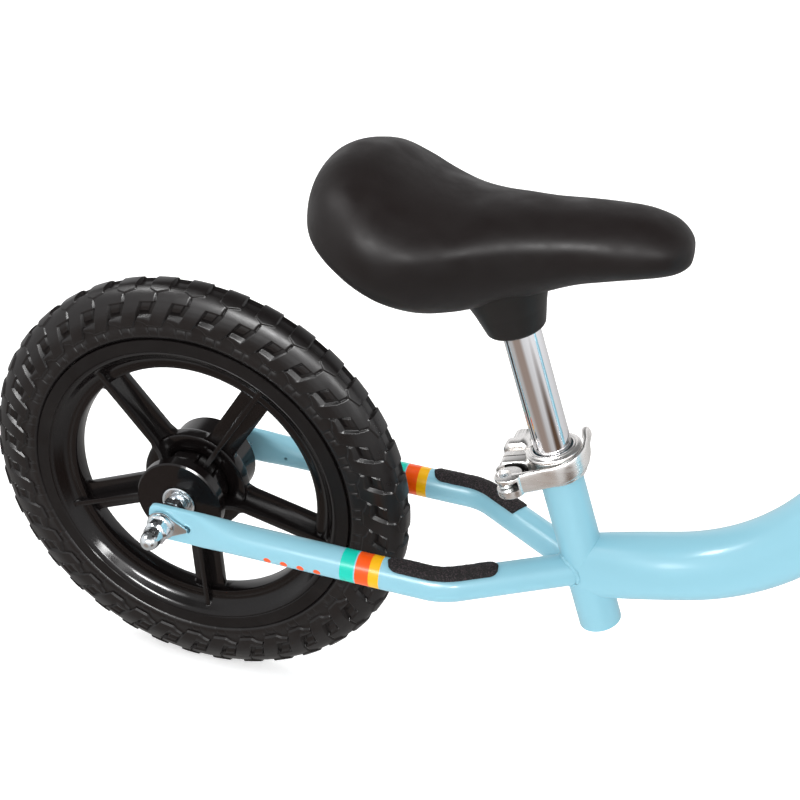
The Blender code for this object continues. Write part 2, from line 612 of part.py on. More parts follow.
def fork():
    for sign, hand in ((-1, "right"), (1, "left")):
        node("fork_leg_" + hand, fork_leg(sign), "blue_paint", STEER_PIVOT)
    steerer = pipe(head_point(0, 0, STEERER_SPAN[0]), head_point(0, 0, STEERER_SPAN[1]), STEERER_R, POST_R + GAP, 24)
    slit = box(head_point(-12, 0, STEERER_SPAN[1] - 10), (4, 1.2, 18), (HEAD_FWD, Y_AXIS, HEAD_UP))
    node("fork_steerer", cut(steerer, slit), "chrome", STEER_PIVOT)
    crown = pipe(head_point(0, 0, CROWN_SPAN[0]), head_point(0, 0, CROWN_SPAN[1]), 15.6, STEERER_R + GAP, 24)
    node("fork_crown", crown, "blue_paint", STEER_PIVOT)
    low, high = HEAD_TUBE_SPAN
    race = [(13.0, -15.4), (16.8, -15.4), (17.6, -12), (16.4, -8.6), (13.0, -8.6)]
    node("crown_race", lathe(race, head_point(0, 0, low), HEAD_UP, segments=20), "zinc", STEER_PIVOT)
    lock = [(13.0, 8.6), (18.2, 8.6, 8), (18.2, 16, 8), (13.0, 16)]
    node("headset_locknut", lathe(lock, head_point(0, 0, high), HEAD_UP, segments=16, offset=0), "chrome", STEER_PIVOT)
    clamp = collar(head_point, (HEAD_FWD, HEAD_UP), STEERER_SPAN[1] - 18.5, 20.0, STEERER_R + GAP, 33.5)
    node("bar_collar", clamp, "alloy", STEER_PIVOT)
    bolt = [(0, -13.5), (4.6, -13.5), (4.6, -8.4), (2.5, -8.4), (2.5, 12.5), (0, 12.5)]
    node("bar_collar_bolt", lathe(bolt, head_point(PIVOT_F, 0, STEERER_SPAN[1] - 9.5), Y_AXIS, HEAD_UP, 12), "zinc", STEER_PIVOT)
    nut = [(2.8, 8.4), (4.4, 8.4, 6), (4.4, 12.6, 6), (2.8, 12.6)]
    node("bar_collar_nut", lathe(nut, head_point(PIVOT_F, 0, STEERER_SPAN[1] - 9.5), Y_AXIS, HEAD_UP, 12, 0), "zinc", STEER_PIVOT)


def bar_path():
    """Right grip end to left grip end: level, then rising and swept back a little toward the hands."""
    half = [head_point(0, 0, BAR_S), head_point(-1, 70, BAR_S + 2), head_point(-14, 118, BAR_S + 12),
            head_point(-30, BAR_HALF_WIDTH, BAR_S + 18)]
    right = [Vector((p.x, -p.y, p.z)) for p in half]
    return filleted([right[3], right[2], right[1], half[1], half[2], half[3]], [60, 60, 60, 60], 2)


def grip(sign):
    end = bar_path()[-1]
    inner = bar_path()[-2]
    axis = (end - inner).normalized()
    end, axis = Vector((end.x, sign * end.y, end.z)), Vector((axis.x, sign * axis.y, axis.z))
    profile = [(0, 3.4), (16, 3.4), (17.5, 1.0), (17.5, -1.2), (13.6, -6), (14.4, -36), (13.4, -74), (17.6, -76),
               (17.6, -80), (13.0, -82), (STAY_R + GAP, -82), (STAY_R + GAP, GAP), (0, GAP)]
    return lathe(profile, end, axis, Z_AXIS, 20)


def handlebar():
    pivot = head_point(0, 0, STEERER_SPAN[1])
    path = bar_path()
    bar = sweep(path, [(STAY_R, STAY_R, 2)] * len(path), Z_AXIS, WALL, segments=12)
    node("handlebar", bar, "black_paint", pivot)
    post = pipe(head_point(0, 0, BAR_POST_SPAN[0]), head_point(0, 0, BAR_POST_SPAN[1]), POST_R, POST_R - 1.6, 24)
    saddle_cut = rod(head_point(-1, -40, BAR_S + 2), head_point(-1, 40, BAR_S + 2), STAY_R + GAP, 24, Z_AXIS)
    node("handlebar_post", cut(post, saddle_cut), "black_paint", pivot)
    for sign, hand in ((-1, "right"), (1, "left")):
        node("grip_" + hand, grip(sign), "grip_rubber", pivot)


frame()
seat_clamp()
seat()
fork()
handlebar()
wheel("rear", REAR_AXLE, (STAY_BEND_X * X_AXIS + Z_AXIS * STAY_DROP * STAY_BEND_X).normalized())
wheel("front", FRONT_AXLE, (head_point(0, 0, 152) - FRONT_AXLE).normalized())
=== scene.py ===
"""Looks for the balance bike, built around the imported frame.

Lengths in the tables below are in millimetres, and Blender's own are in metres.
"""

import json
import random
from math import asin, copysign, cos, dist, hypot, pi, radians, sin, sqrt, tan

import bmesh
import bpy
from mathutils import Matrix, Vector


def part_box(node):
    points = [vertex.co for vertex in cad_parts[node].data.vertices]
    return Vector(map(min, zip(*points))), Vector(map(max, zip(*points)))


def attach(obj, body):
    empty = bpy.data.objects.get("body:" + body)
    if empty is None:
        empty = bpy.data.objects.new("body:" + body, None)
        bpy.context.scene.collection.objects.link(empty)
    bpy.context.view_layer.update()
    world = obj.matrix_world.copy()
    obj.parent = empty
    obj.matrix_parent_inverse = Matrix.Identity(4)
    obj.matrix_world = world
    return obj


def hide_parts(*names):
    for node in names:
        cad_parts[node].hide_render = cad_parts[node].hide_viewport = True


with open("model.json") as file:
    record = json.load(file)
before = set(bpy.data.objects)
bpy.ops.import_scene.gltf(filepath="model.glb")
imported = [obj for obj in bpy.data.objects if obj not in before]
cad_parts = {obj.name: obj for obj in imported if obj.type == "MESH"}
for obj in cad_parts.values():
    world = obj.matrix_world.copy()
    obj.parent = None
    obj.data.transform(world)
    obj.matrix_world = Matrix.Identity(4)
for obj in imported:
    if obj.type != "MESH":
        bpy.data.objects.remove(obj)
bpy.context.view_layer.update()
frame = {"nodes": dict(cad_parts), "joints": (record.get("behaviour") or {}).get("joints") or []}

MM = 0.001
X_AXIS, Y_AXIS, Z_AXIS = Vector((1, 0, 0)), Vector((0, 1, 0)), Vector((0, 0, 1))
JOINT = {joint["name"]: joint for joint in frame["joints"]}


class Axes:
    """An origin with a forward and an up direction. at() turns millimetres into a point in metres."""

    def __init__(self, origin, forward, up):
        self.origin, self.forward, self.up = origin, forward, up
        self.turned = (forward, Y_AXIS, up)

    def at(self, forward=0.0, left=0.0, up=0.0):
        return self.origin + (self.forward * forward + Y_AXIS * left + self.up * up) * MM

    def along(self, low, high, forward=0.0, left=0.0):
        """Both ends of a line along the up direction."""
        return self.at(forward, left, low), self.at(forward, left, high)


def middle(node):
    low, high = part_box(node)
    return (low + high) / 2


SEAT_UP = Vector(JOINT["seat_height"]["axis"]).normalized()
HEAD_UP = Vector(JOINT["steering"]["axis"]).normalized()
SEAT_FWD, HEAD_FWD = Y_AXIS.cross(SEAT_UP), Y_AXIS.cross(HEAD_UP)
# Where the lever's pivot lies from the seat tube's base, and the steering pivot along the head's axis
PIVOT_F, PIVOT_Y, LEVER_S = -26.5, -19.0, 66.5
HEAD_TUBE_LOW, HEAD_TUBE_HIGH = 192.0, 288.0

REAR = Axes(middle("rear_axle"), X_AXIS, Z_AXIS)
FRONT = Axes(middle("front_axle"), X_AXIS, Z_AXIS)
LEVER_PIVOT = Vector(JOINT["seat_lever_open"]["pos_m"])
SEAT = Axes(LEVER_PIVOT - (SEAT_FWD * PIVOT_F + Y_AXIS * PIVOT_Y + SEAT_UP * LEVER_S) * MM, SEAT_FWD,
            SEAT_UP)
HEAD = Axes(Vector(JOINT["steering"]["pos_m"]) - HEAD_UP * HEAD_TUBE_LOW * MM, HEAD_FWD, HEAD_UP)

GAP = 0.3
STAY_R, STAY_Y, STAY_BEND_X, STAY_DROP = 9.525, 48.0, 177.0, -0.03
SEAT_TUBE_R, POST_R, MAIN_TUBE_R, HEAD_TUBE_R, STEERER_R = 12.7, 11.1, 19.5, 17.0, 12.7
WALL = 1.5


# ---------------------------------------------------------------- node graphs


class Graph:
    """Short ways to add and link shader nodes."""

    def __init__(self, tree):
        self.tree = tree

    def add(self, kind, **settings):
        node = self.tree.nodes.new(kind)
        for name, value in settings.items():
            setattr(node, name, value)
        return node

    def put(self, socket, value):
        if isinstance(value, bpy.types.NodeSocket):
            self.tree.links.new(value, socket)
        else:
            socket.default_value = value

    def math(self, operation, *values, clamp=False):
        node = self.add("ShaderNodeMath", operation=operation, use_clamp=clamp)
        for socket, value in zip(node.inputs, values):
            self.put(socket, value)
        return node.outputs[0]

    def place(self):
        return self.add("ShaderNodeTexCoord").outputs["Object"]

    def noise(self, scale, detail=3.0, stretch=(1, 1, 1)):
        mapping = self.add("ShaderNodeMapping")
        self.put(mapping.inputs["Vector"], self.place())
        mapping.inputs["Scale"].default_value = stretch
        node = self.add("ShaderNodeTexNoise")
        self.put(node.inputs["Vector"], mapping.outputs[0])
        node.inputs["Scale"].default_value = scale
        node.inputs["Detail"].default_value = detail
        return node.outputs[0]

    def spread(self, value, low, high, start=0.3, end=0.7):
        node = self.add("ShaderNodeMapRange")
        self.put(node.inputs["Value"], value)
        for name, number in (("From Min", start), ("From Max", end), ("To Min", low), ("To Max", high)):
            node.inputs[name].default_value = number
        return node.outputs[0]

    def blend(self, share, first, second):
        node = self.add("ShaderNodeMix", data_type="RGBA")
        self.put(node.inputs[0], share)
        for socket, value in ((node.inputs[6], first), (node.inputs[7], second)):
            self.put(socket, value if isinstance(value, bpy.types.NodeSocket) else (*value, 1))
        return node.outputs[2]

    def between(self, value, low, high):
        return self.math("MULTIPLY", self.math("GREATER_THAN", value, low),
                         self.math("LESS_THAN", value, high))


def surface(name, colour, rough, worn=None, grain=900.0, bump=0.1, depth=0.0002, vary=0.12,
            stretch=(1, 1, 1), mottle=14.0, swing=0.2, fleck=None, paint=None, **fixed):
    """A procedural material: mottled colour, uneven roughness, fine grain in the normals.

    swing is how far the roughness wanders, worn the colour of rubbed or dusty patches and fleck one of
    tiny specks. paint may recolour the base.
    """
    made = bpy.data.materials.new(name)
    made.use_nodes = True
    graph = Graph(made.node_tree)
    shader = made.node_tree.nodes["Principled BSDF"]
    for socket, value in fixed.items():
        shader.inputs[socket.replace("_", " ")].default_value = value
    light = tuple(min(1.0, c * (1 + vary)) for c in colour)
    dark = tuple(c * (1 - vary) for c in colour)
    patches = graph.noise(mottle, 4.0)
    base = graph.blend(graph.spread(patches, 0, 1), dark, light)
    if paint:
        base = paint(graph, base)
    if worn:
        rubbed = graph.spread(graph.noise(mottle * 3.1, 6.0), 0, 0.5, 0.56, 0.74)
        base = graph.blend(rubbed, base, worn)
    if fleck:
        specks = graph.spread(graph.noise(grain * 0.9, 1.0), 0, 0.6, 0.5, 0.68)
        base = graph.blend(specks, base, fleck)
    graph.put(shader.inputs["Base Color"], base)
    uneven = graph.noise(mottle * 4.3, 5.0, stretch)
    graph.put(shader.inputs["Roughness"], graph.spread(uneven, rough * (1 - swing),
                                                       min(1.0, rough * (1 + swing))))
    ripple = graph.add("ShaderNodeBump")
    ripple.inputs["Strength"].default_value = bump
    ripple.inputs["Distance"].default_value = depth
    graph.put(ripple.inputs["Height"], graph.noise(grain, 3.0, stretch))
    graph.put(shader.inputs["Normal"], ripple.outputs[0])
    return made


TEAL, ORANGE, YELLOW = (0.0, 0.56, 0.43), (0.86, 0.085, 0.0), (0.86, 0.44, 0.0)
BLUE = (0.252, 0.515, 0.62)


def stripes(dots):
    """Three bands round a stay, ahead of the axle, and a row of plain dots on the near one."""

    def paint(graph, base):
        split = graph.add("ShaderNodeSeparateXYZ")
        graph.put(split.inputs[0], graph.place())
        ahead = graph.math("MULTIPLY", graph.math("SUBTRACT", split.outputs[0], REAR.origin.x), 1000.0)
        for low, high, colour in ((117.0, 125.5, TEAL), (126.3, 134.7, ORANGE), (134.7, 141.0, YELLOW)):
            base = graph.blend(graph.between(ahead, low, high), base, colour)
        if dots:
            pitch, first, last, size, drop = 10.5, 66.0, 108.0, 2.3, -3.6
            rest = graph.math("SUBTRACT", graph.math("MODULO", graph.math("SUBTRACT", ahead, first), pitch),
                              pitch / 2)
            height = graph.math("MULTIPLY", graph.math("SUBTRACT", split.outputs[2], REAR.origin.z), 1000.0)
            height = graph.math("SUBTRACT", height, graph.math("MULTIPLY_ADD", ahead, STAY_DROP, drop))
            reach = graph.math("ADD", graph.math("POWER", rest, 2.0), graph.math("POWER", height, 2.0))
            inside = graph.math("MULTIPLY", graph.math("LESS_THAN", reach, size**2),
                                graph.between(ahead, first, last))
            near = graph.math("LESS_THAN", split.outputs[1], REAR.origin.y - STAY_Y * MM)
            base = graph.blend(graph.math("MULTIPLY", inside, near), base, ORANGE)
        return base

    return paint


GLOSS = dict(Specular_IOR_Level=0.35, Coat_Weight=0.35, Coat_Roughness=0.05)
PAINT = dict(rough=0.3, grain=260.0, bump=0.05, vary=0.008, mottle=9.0, swing=0.06, **GLOSS)
MATERIALS = {
    "blue_paint": surface("sky_blue_enamel", BLUE, **PAINT),
    "striped_paint": surface("striped_enamel", BLUE, paint=stripes(False), **PAINT),
    "dotted_paint": surface("dotted_enamel", BLUE, paint=stripes(True), **PAINT),
    "foam_tyre": surface("eva_foam", (0.007, 0.0054, 0.0054), 0.34, worn=(0.011, 0.009, 0.009), grain=2200.0,
                         bump=0.12, depth=0.0003, vary=0.15, Specular_IOR_Level=0.36),
    "black_gloss": surface("gloss_moulding", (0.005, 0.0038, 0.0038), 0.14, grain=300.0, bump=0.02, vary=0.2,
                           Specular_IOR_Level=0.32),
    "black_satin": surface("satin_moulding", (0.007, 0.0057, 0.0056), 0.4, worn=(0.013, 0.011, 0.0105),
                           grain=1500.0, bump=0.12, Specular_IOR_Level=0.17),
    "black_paint": surface("black_enamel", (0.008, 0.008, 0.009), 0.28, grain=260.0, bump=0.06, **GLOSS),
    "saddle_skin": surface("saddle_foam_skin", (0.0085, 0.0058, 0.0056), 0.5, worn=(0.0105, 0.0076, 0.0074),
                           grain=1900.0, bump=0.14, depth=0.00025, Specular_IOR_Level=0.2,
                           Sheen_Weight=0.015, Sheen_Roughness=0.5),
    "black_plastic": surface("ribbed_plastic", (0.0085, 0.007, 0.0066), 0.42, grain=1600.0, bump=0.14,
                             Specular_IOR_Level=0.25),
    "grit": surface("grit_tape", (0.006, 0.0045, 0.005), 0.6, worn=(0.012, 0.01, 0.01), grain=1100.0,
                    bump=1.0, depth=0.0014, fleck=(0.075, 0.052, 0.058), Specular_IOR_Level=0.25),
    "chrome": surface("chrome_plate", (0.83, 0.83, 0.85), 0.06, grain=140.0, bump=0.03, vary=0.02,
                      Metallic=1.0),
    "zinc": surface("zinc_plate", (0.70, 0.74, 0.76), 0.17, worn=(0.78, 0.70, 0.74), grain=520.0, bump=0.1,
                    vary=0.06, Metallic=1.0),
    "alloy": surface("polished_alloy", (0.90, 0.88, 0.86), 0.27, grain=700.0, bump=0.1, vary=0.05,
                     stretch=(1, 1, 6), Metallic=1.0),
    "grip_rubber": surface("grip_rubber", (0.014, 0.014, 0.015), 0.72, worn=(0.03, 0.03, 0.03), grain=1700.0,
                           bump=0.3, Specular_IOR_Level=0.35),
}
SIDES = ((-1, "right"), (1, "left"))


# ---------------------------------------------------------------- mesh building


def mesh_object(verts, faces):
    mesh = bpy.data.meshes.new("piece")
    mesh.from_pydata([tuple(v) for v in verts], [], faces)
    bm = bmesh.new()
    bm.from_mesh(mesh)
    bmesh.ops.remove_doubles(bm, verts=bm.verts, dist=2e-6)
    bmesh.ops.recalc_face_normals(bm, faces=bm.faces)
    bm.to_mesh(mesh)
    bm.free()
    made = bpy.data.objects.new("piece", mesh)
    bpy.context.scene.collection.objects.link(made)
    return made


def skin(rings, loop=False):
    """Quads between equal rings. An open list gets end caps, a loop joins its last ring to its first."""
    count = len(rings[0])
    verts = [v for ring in rings for v in ring]
    faces = []
    for i in range(len(rings) if loop else len(rings) - 1):
        a, b = i * count, (i + 1) % len(rings) * count
        faces += [(a + k, a + (k + 1) % count, b + (k + 1) % count, b + k) for k in range(count)]
    if not loop:
        faces += [tuple(reversed(range(count))), tuple(range(len(verts) - count, len(verts)))]
    return mesh_object(verts, faces)


def soften(profile, radius=0.5, steps=3):
    """Rounds every inner corner of an open profile of (r, h) points."""
    made = [profile[0]]
    for before, corner, after in zip(profile, profile[1:], profile[2:]):
        p, a, b = Vector(corner[:2]), Vector(before[:2]), Vector(after[:2])
        reach_a, reach_b = min(radius, (a - p).length * 0.45), min(radius, (b - p).length * 0.45)
        a, b = p + (a - p).normalized() * reach_a, p + (b - p).normalized() * reach_b
        for k in range(steps + 1):
            t = k / steps
            q = a * (1 - t) ** 2 + p * 2 * t * (1 - t) + b * t**2
            made.append((q.x, q.y, *corner[2:]))
    made.append(profile[-1])
    return made


def lathe(profile, centre, axis, segments=72, side=Y_AXIS, turn=0.0):
    """Revolves (radius, height) points in millimetres. A third number gives a point that many flats."""
    axis = axis.normalized()
    if abs(side.dot(axis)) > 0.99:
        side = Z_AXIS
    side = (side - axis * side.dot(axis)).normalized()
    other = axis.cross(side)
    hollow = min(point[0] for point in profile) > 0
    columns = []
    for k in range(segments):
        angle = 2 * pi * k / segments + turn
        out = side * cos(angle) + other * sin(angle)
        column = []
        for point in profile:
            radius = point[0]
            if len(point) > 2:
                part = 2 * pi / point[2]
                radius = min(radius / cos((angle + part / 2) % part - part / 2), radius * 1.13)
            column.append(centre + (axis * point[1] + out * radius) * MM)
        columns.append(column)
    if hollow:
        return skin(columns, loop=True)
    size = len(profile)
    verts = [v for column in columns for v in column]
    faces = []
    for k in range(segments):
        a, b = k * size, (k + 1) % segments * size
        faces += [(a + j, a + j + 1, b + j + 1, b + j) for j in range(size - 1)]
    made = mesh_object(verts, faces)
    bm = bmesh.new()
    bm.from_mesh(made.data)
    bmesh.ops.dissolve_degenerate(bm, dist=2e-6, edges=bm.edges)
    bm.to_mesh(made.data)
    bm.free()
    return made


def rod(start, end, radius, segments=48, side=Y_AXIS, edge=0.0):
    length = (end - start).length / MM
    profile = [(0, 0), (radius, 0), (radius, length), (0, length)]
    return lathe(soften(profile, edge) if edge else profile, start, end - start, segments, side)


def pipe(start, end, outer, inner, segments=72, edge=0.4):
    length = (end - start).length / MM
    profile = [(inner, length / 2), (inner, 0), (outer, 0), (outer, length), (inner, length),
               (inner, length / 2)]
    return lathe(soften(profile, edge)[:-1], start, end - start, segments)


def block(centre, half, axes, edge=0.0, steps=2):
    corners = []
    for i in (-1, 1):
        for j in (-1, 1):
            for k in (-1, 1):
                reach = axes[0] * i * half[0] + axes[1] * j * half[1] + axes[2] * k * half[2]
                corners.append(centre + reach * MM)
    faces = [(0, 1, 3, 2), (4, 6, 7, 5), (0, 4, 5, 1), (2, 3, 7, 6), (0, 2, 6, 4), (1, 5, 7, 3)]
    return rounded(mesh_object(corners, faces), edge, steps)


def extrude(outline, normal, depth, edge=0.0, steps=2):
    """A flat outline pushed along normal by depth millimetres, its rims rounded by edge."""
    made = skin([outline, [p + normal * depth * MM for p in outline]])
    return rounded(made, edge, steps, 0.9)


def rounded(made, edge, steps=2, angle=0.5):
    """Bevels the sharp edges of a mesh by edge millimetres."""
    if not edge:
        return made
    bevel = made.modifiers.new("bevel", "BEVEL")
    bevel.width, bevel.segments, bevel.limit_method, bevel.angle_limit = edge * MM, steps, "ANGLE", angle
    return settled(made)


def settled(made):
    """Applies an object's modifiers."""
    bpy.context.view_layer.update()
    mesh = bpy.data.meshes.new_from_object(made.evaluated_get(bpy.context.evaluated_depsgraph_get()))
    made.modifiers.clear()
    made.data = mesh
    return made


def combine(base, others, operation):
    for other in others:
        step = base.modifiers.new("bool", "BOOLEAN")
        step.operation, step.object, step.solver = operation, other, "EXACT"
        settled(base)
        bpy.data.objects.remove(other)
    return base


def cut(base, *others):
    return combine(base, others, "DIFFERENCE")


def join(base, *others):
    return combine(base, others, "UNION")


def filleted(corners, radii, steps=12):
    """A path through the corners, in metres, with inner corners rounded to radii in millimetres."""
    path = [corners[0]]
    for before, corner, after, radius in zip(corners, corners[1:], corners[2:], radii):
        back, ahead = (before - corner).normalized(), (after - corner).normalized()
        half = back.angle(ahead) / 2
        reach = radius * MM / tan(half)
        centre = corner + (back + ahead).normalized() * radius * MM / sin(half)
        first, last = corner + back * reach - centre, corner + ahead * reach - centre
        turn = first.angle(last)
        path.append(centre + first + back * 1.5 * MM)
        for k in range(steps + 1):
            t = k / steps
            path.append(centre + (first * sin((1 - t) * turn) + last * sin(t * turn)) / sin(turn))
        path.append(centre + last + ahead * 1.5 * MM)
    path.append(corners[-1])
    return path


def smooth(points, per=6):
    """Catmull-Rom through rows of numbers, per steps between each two."""
    rows = [points[0], *points, points[-1]]
    made = []
    for a, b, c, d in zip(rows, rows[1:], rows[2:], rows[3:]):
        for k in range(per):
            t = k / per
            made.append(tuple(
                0.5 * (2 * q + (r - p) * t + (2 * p - 5 * q + 4 * r - s) * t * t + (3 * q - p - 3 * r + s)
                       * t**3)
                for p, q, r, s in zip(a, b, c, d)))
    made.append(tuple(points[-1]))
    return made


def path_frames(path, ref):
    found = []
    for i in range(len(path)):
        tangent = (path[min(i + 1, len(path) - 1)] - path[max(i - 1, 0)]).normalized()
        side = tangent.cross(ref).normalized()
        found.append((side, side.cross(tangent)))
    return found


def section(point, side, up, a, b, power, segments):
    ring = []
    for k in range(segments):
        angle = 2 * pi * (k + 0.5) / segments
        c, s = cos(angle), sin(angle)
        c, s = copysign(abs(c) ** (2 / power), c), copysign(abs(s) ** (2 / power), s)
        ring.append(point + (side * c * a + up * s * b) * MM)
    return ring


def sweep(path, sizes, ref, wall=0.0, blind=0, segments=40):
    """A tube along path, with (half width, half height, squareness) per point.

    With a wall it is hollow beyond its first blind points.
    """
    axes = path_frames(path, ref)
    outer = [section(p, *f, *z, segments) for p, f, z in zip(path, axes, sizes)]
    if not wall:
        return skin(outer)
    inner = [section(p, *f, a - wall, b - wall, power, segments)
             for p, f, (a, b, power) in list(zip(path, axes, sizes))[blind:]]
    inner.reverse()
    return skin(outer + inner, loop=not blind)


def piece(name, made, slot, body, nodes=(), angle=32.0):
    """Names, shades and finishes a mesh, parents it to its body, and hides the CAD nodes that it stands for.
    """
    made.name = made.data.name = name
    made.data.shade_smooth()
    made.data.set_sharp_from_angle(angle=radians(angle))
    made.data.materials.clear()
    made.data.materials.append(MATERIALS[slot])
    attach(made, body)
    if nodes:
        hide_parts(*nodes)
    return made


# ---------------------------------------------------------------- wheels

TREAD_UNITS, TREAD_PHASE, TREAD_PITCH = 38, 67.33, 360 / 38
# From the crown to the rim: radius and distance from the wheel's middle plane
TYRE_CURVE = [(142, 0), (141.95, 2.2), (141.6, 4.6), (140.2, 7.2), (137.5, 9.9), (133.6, 12.1), (129, 13.5),
              (124, 14.2), (119, 14.4), (114, 14.3), (110.5, 13.9), (108.6, 13.4), (107.95, 12.4)]
# Lines across one tread unit, as shares of it, set close together at the blocks' walls
TREAD_LINES = [-0.42, -0.40, -0.385, -0.32, -0.245, -0.23, -0.21, -0.195, -0.135, -0.12, -0.10, -0.085,
               -0.035, -0.02, 0.005, 0.025, 0.05, 0.07, 0.16, 0.24, 0.305, 0.325, 0.345, 0.36, 0.44, 0.495,
               0.515, 0.54]
# How much further out a row of the tread lies at the crown block's point and at the tooth, by the row's
# distance from the crown
POINT_REACH = {6: 0.3, 7: 1.6, 7.6: 2.3, 8: 2.5, 8.4: 2.5, 9: 2.3, 11: 1.0}
TOOTH_REACH = {26.5: 0.5, 27.5: 2.3, 28.4: 3.5, 28.8: 3.7, 29.3: 3.8, 30: 3.6, 32: 2.2, 34.2: 0.4}
TREAD_ROWS = [(row, POINT_REACH.get(row, 0), TOOTH_REACH.get(row, 0)) for row in (
    0, 2.4, 4.4, 5.0, 5.4, 6, 7, 7.6, 8, 8.4, 9, 11, 13.5, 16.2, 16.8, 17.2, 17.8, 19.8, 20.2, 22.6, 23,
    23.4, 25.6, 26, 26.5, 27.5, 28.4, 28.8, 29.3, 30, 32, 34.2, 37, 39.5, 42.4)]
TREAD_SLANT = [(0, 0.0), (10.5, 0.0), (16, 0.045), (18.5, 0.10), (25.7, 0.26), (32.5, 0.45), (50, 0.45)]
TOOTH_FOOT = [(-0.42, 0.0), (-0.40, 0.0), (-0.15, 0.4), (0.0, 0.9), (0.05, 1.0), (0.515, 1.0), (0.54, 0.3),
              (0.58, 0.0)]
CROWN_POINT = [(-0.42, 0.0), (-0.22, 0.0), (0.0, 1.0), (0.335, 0.0), (0.58, 0.0)]


def lookup(table, at):
    """Linear value at a point of a table of (position, value) rows."""
    for (low, first), (high, last) in zip(table, table[1:]):
        if at <= high:
            return first + (last - first) * max(0.0, at - low) / (high - low)
    return table[-1][1]


def tread_depth(line, row):
    """How deep a point of the tread lies under the tyre's outline, in millimetres."""
    groove, block, tooth = line > 0.53 or line < -0.41, line < -0.11, 0.04 < line
    if row <= 8.0:
        if -0.22 < line < 0.335:
            return 0.0
        return 2.7 if row <= 5.0 else 1.0
    if row <= 17.0:
        return 2.2 if row > 9.5 and -0.025 < line < 0.01 else 1.0
    if row <= 28.8 and groove:
        return 3.0
    if row >= 29.0:
        fade = 1.5 * max(0.0, 1 - max(0.0, row - 32) / 9)
        notch = 33 < row < 38 and (-0.025 < line < 0.01 or 0.32 < line < 0.35)
        return fade + (0.5 if notch else 0.0)
    if tooth:
        return lookup([(17, 1.0), (20, 0.7), (24, 0.3), (29, 0.2)], row)
    if row >= 26.4:
        return 0.3
    if row >= 23.2 or not block:
        return 3.4
    return 1.7 if row < 20 else 1.7 + (row - 20) * 0.28


def tyre(axes):
    """Foam ring whose crown blocks, shoulder blocks and slanting teeth stand clear of deep grooves."""
    curve = smooth(TYRE_CURVE, 8)
    along = [0.0]
    for a, b in zip(curve, curve[1:]):
        along.append(along[-1] + dist(a, b))
    radii, widths = ([(s, c[i]) for s, c in zip(along, curve)] for i in (0, 1))
    rings = []
    for side, rows in ((1, TREAD_ROWS[::-1]), (-1, TREAD_ROWS[1:])):
        for base, point, foot in rows:
            points = []
            for line in TREAD_LINES:
                away = min(base + point * lookup(CROWN_POINT, line) + foot * lookup(TOOTH_FOOT, line),
                           along[-1])
                before, after = max(away - 0.6, 0.0), min(away + 0.6, along[-1])
                slope = Vector((lookup(radii, after) - lookup(radii, before),
                                lookup(widths, after) - lookup(widths, before)))
                out, depth = Vector((slope.y, -slope.x)).normalized(), tread_depth(line, base)
                share = line - lookup(TREAD_SLANT, away)
                points.append((share, lookup(radii, away) - out.x * depth,
                               side * (lookup(widths, away) - out.y * depth)))
            ring = []
            for unit in range(TREAD_UNITS):
                for share, radius, y in points:
                    angle = radians(TREAD_PHASE - (unit + share) * TREAD_PITCH)
                    ring.append(axes.at(radius * cos(angle), y, radius * sin(angle)))
            rings.append(ring)
    return skin(rings, loop=True)


RIM_CURVE = [(107.6, 13.0), (107.2, 13.7), (99.5, 13.7), (99.15, 13.3), (98.75, 13.3), (98.4, 13.6),
             (97.2, 13.2), (95.6, 11.6), (93.6, 9.0), (91.4, 7.0), (89.4, 6.1), (88.4, 6.0), (87.4, 6.3),
             (85.4, 6.3), (84.0, 5.8), (83.5, 4.8)]
SPOKES, SPOKE_PHASE = 5, radians(57.6)
SPOKE_HALF, OPENING_IN, OPENING_OUT = 10.0, 35.0, 83.6


def opening(axes, angle, half_depth):
    """The rounded gap between two spokes, as a cutter."""
    step = pi / SPOKES
    corners = []
    for radius in (OPENING_OUT, OPENING_IN):
        spread = step - asin(SPOKE_HALF / radius)
        count = 12 if radius == OPENING_OUT else 5
        line = [(radius, angle + spread * (2 * k / count - 1)) for k in range(count + 1)]
        corners.append(line if radius == OPENING_OUT else line[::-1])
    flat = [Vector((r * cos(a), r * sin(a))) for r, a in corners[0] + corners[1]]
    outline = []
    count = len(flat)
    for i, p in enumerate(flat):
        back, ahead = flat[i - 1] - p, flat[(i + 1) % count] - p
        if back.angle(ahead) > 2.7:
            outline.append(p)
            continue
        reach = 3.2
        a, b = p + back.normalized() * reach, p + ahead.normalized() * reach
        outline += [a * (1 - t) ** 2 + p * 2 * t * (1 - t) + b * t * t for t in (0, 0.25, 0.5, 0.75, 1)]
    return extrude([axes.at(p.x, -half_depth, p.y) for p in outline], Y_AXIS, half_depth * 2)


def mirrored(profile):
    return profile + [(r, -y) for r, y in reversed(profile)]


def round_the_hub(angle):
    """The directions out from a wheel's middle at an angle, and square to it in the wheel's plane."""
    return Vector((cos(angle), 0, sin(angle))), Vector((-sin(angle), 0, cos(angle)))


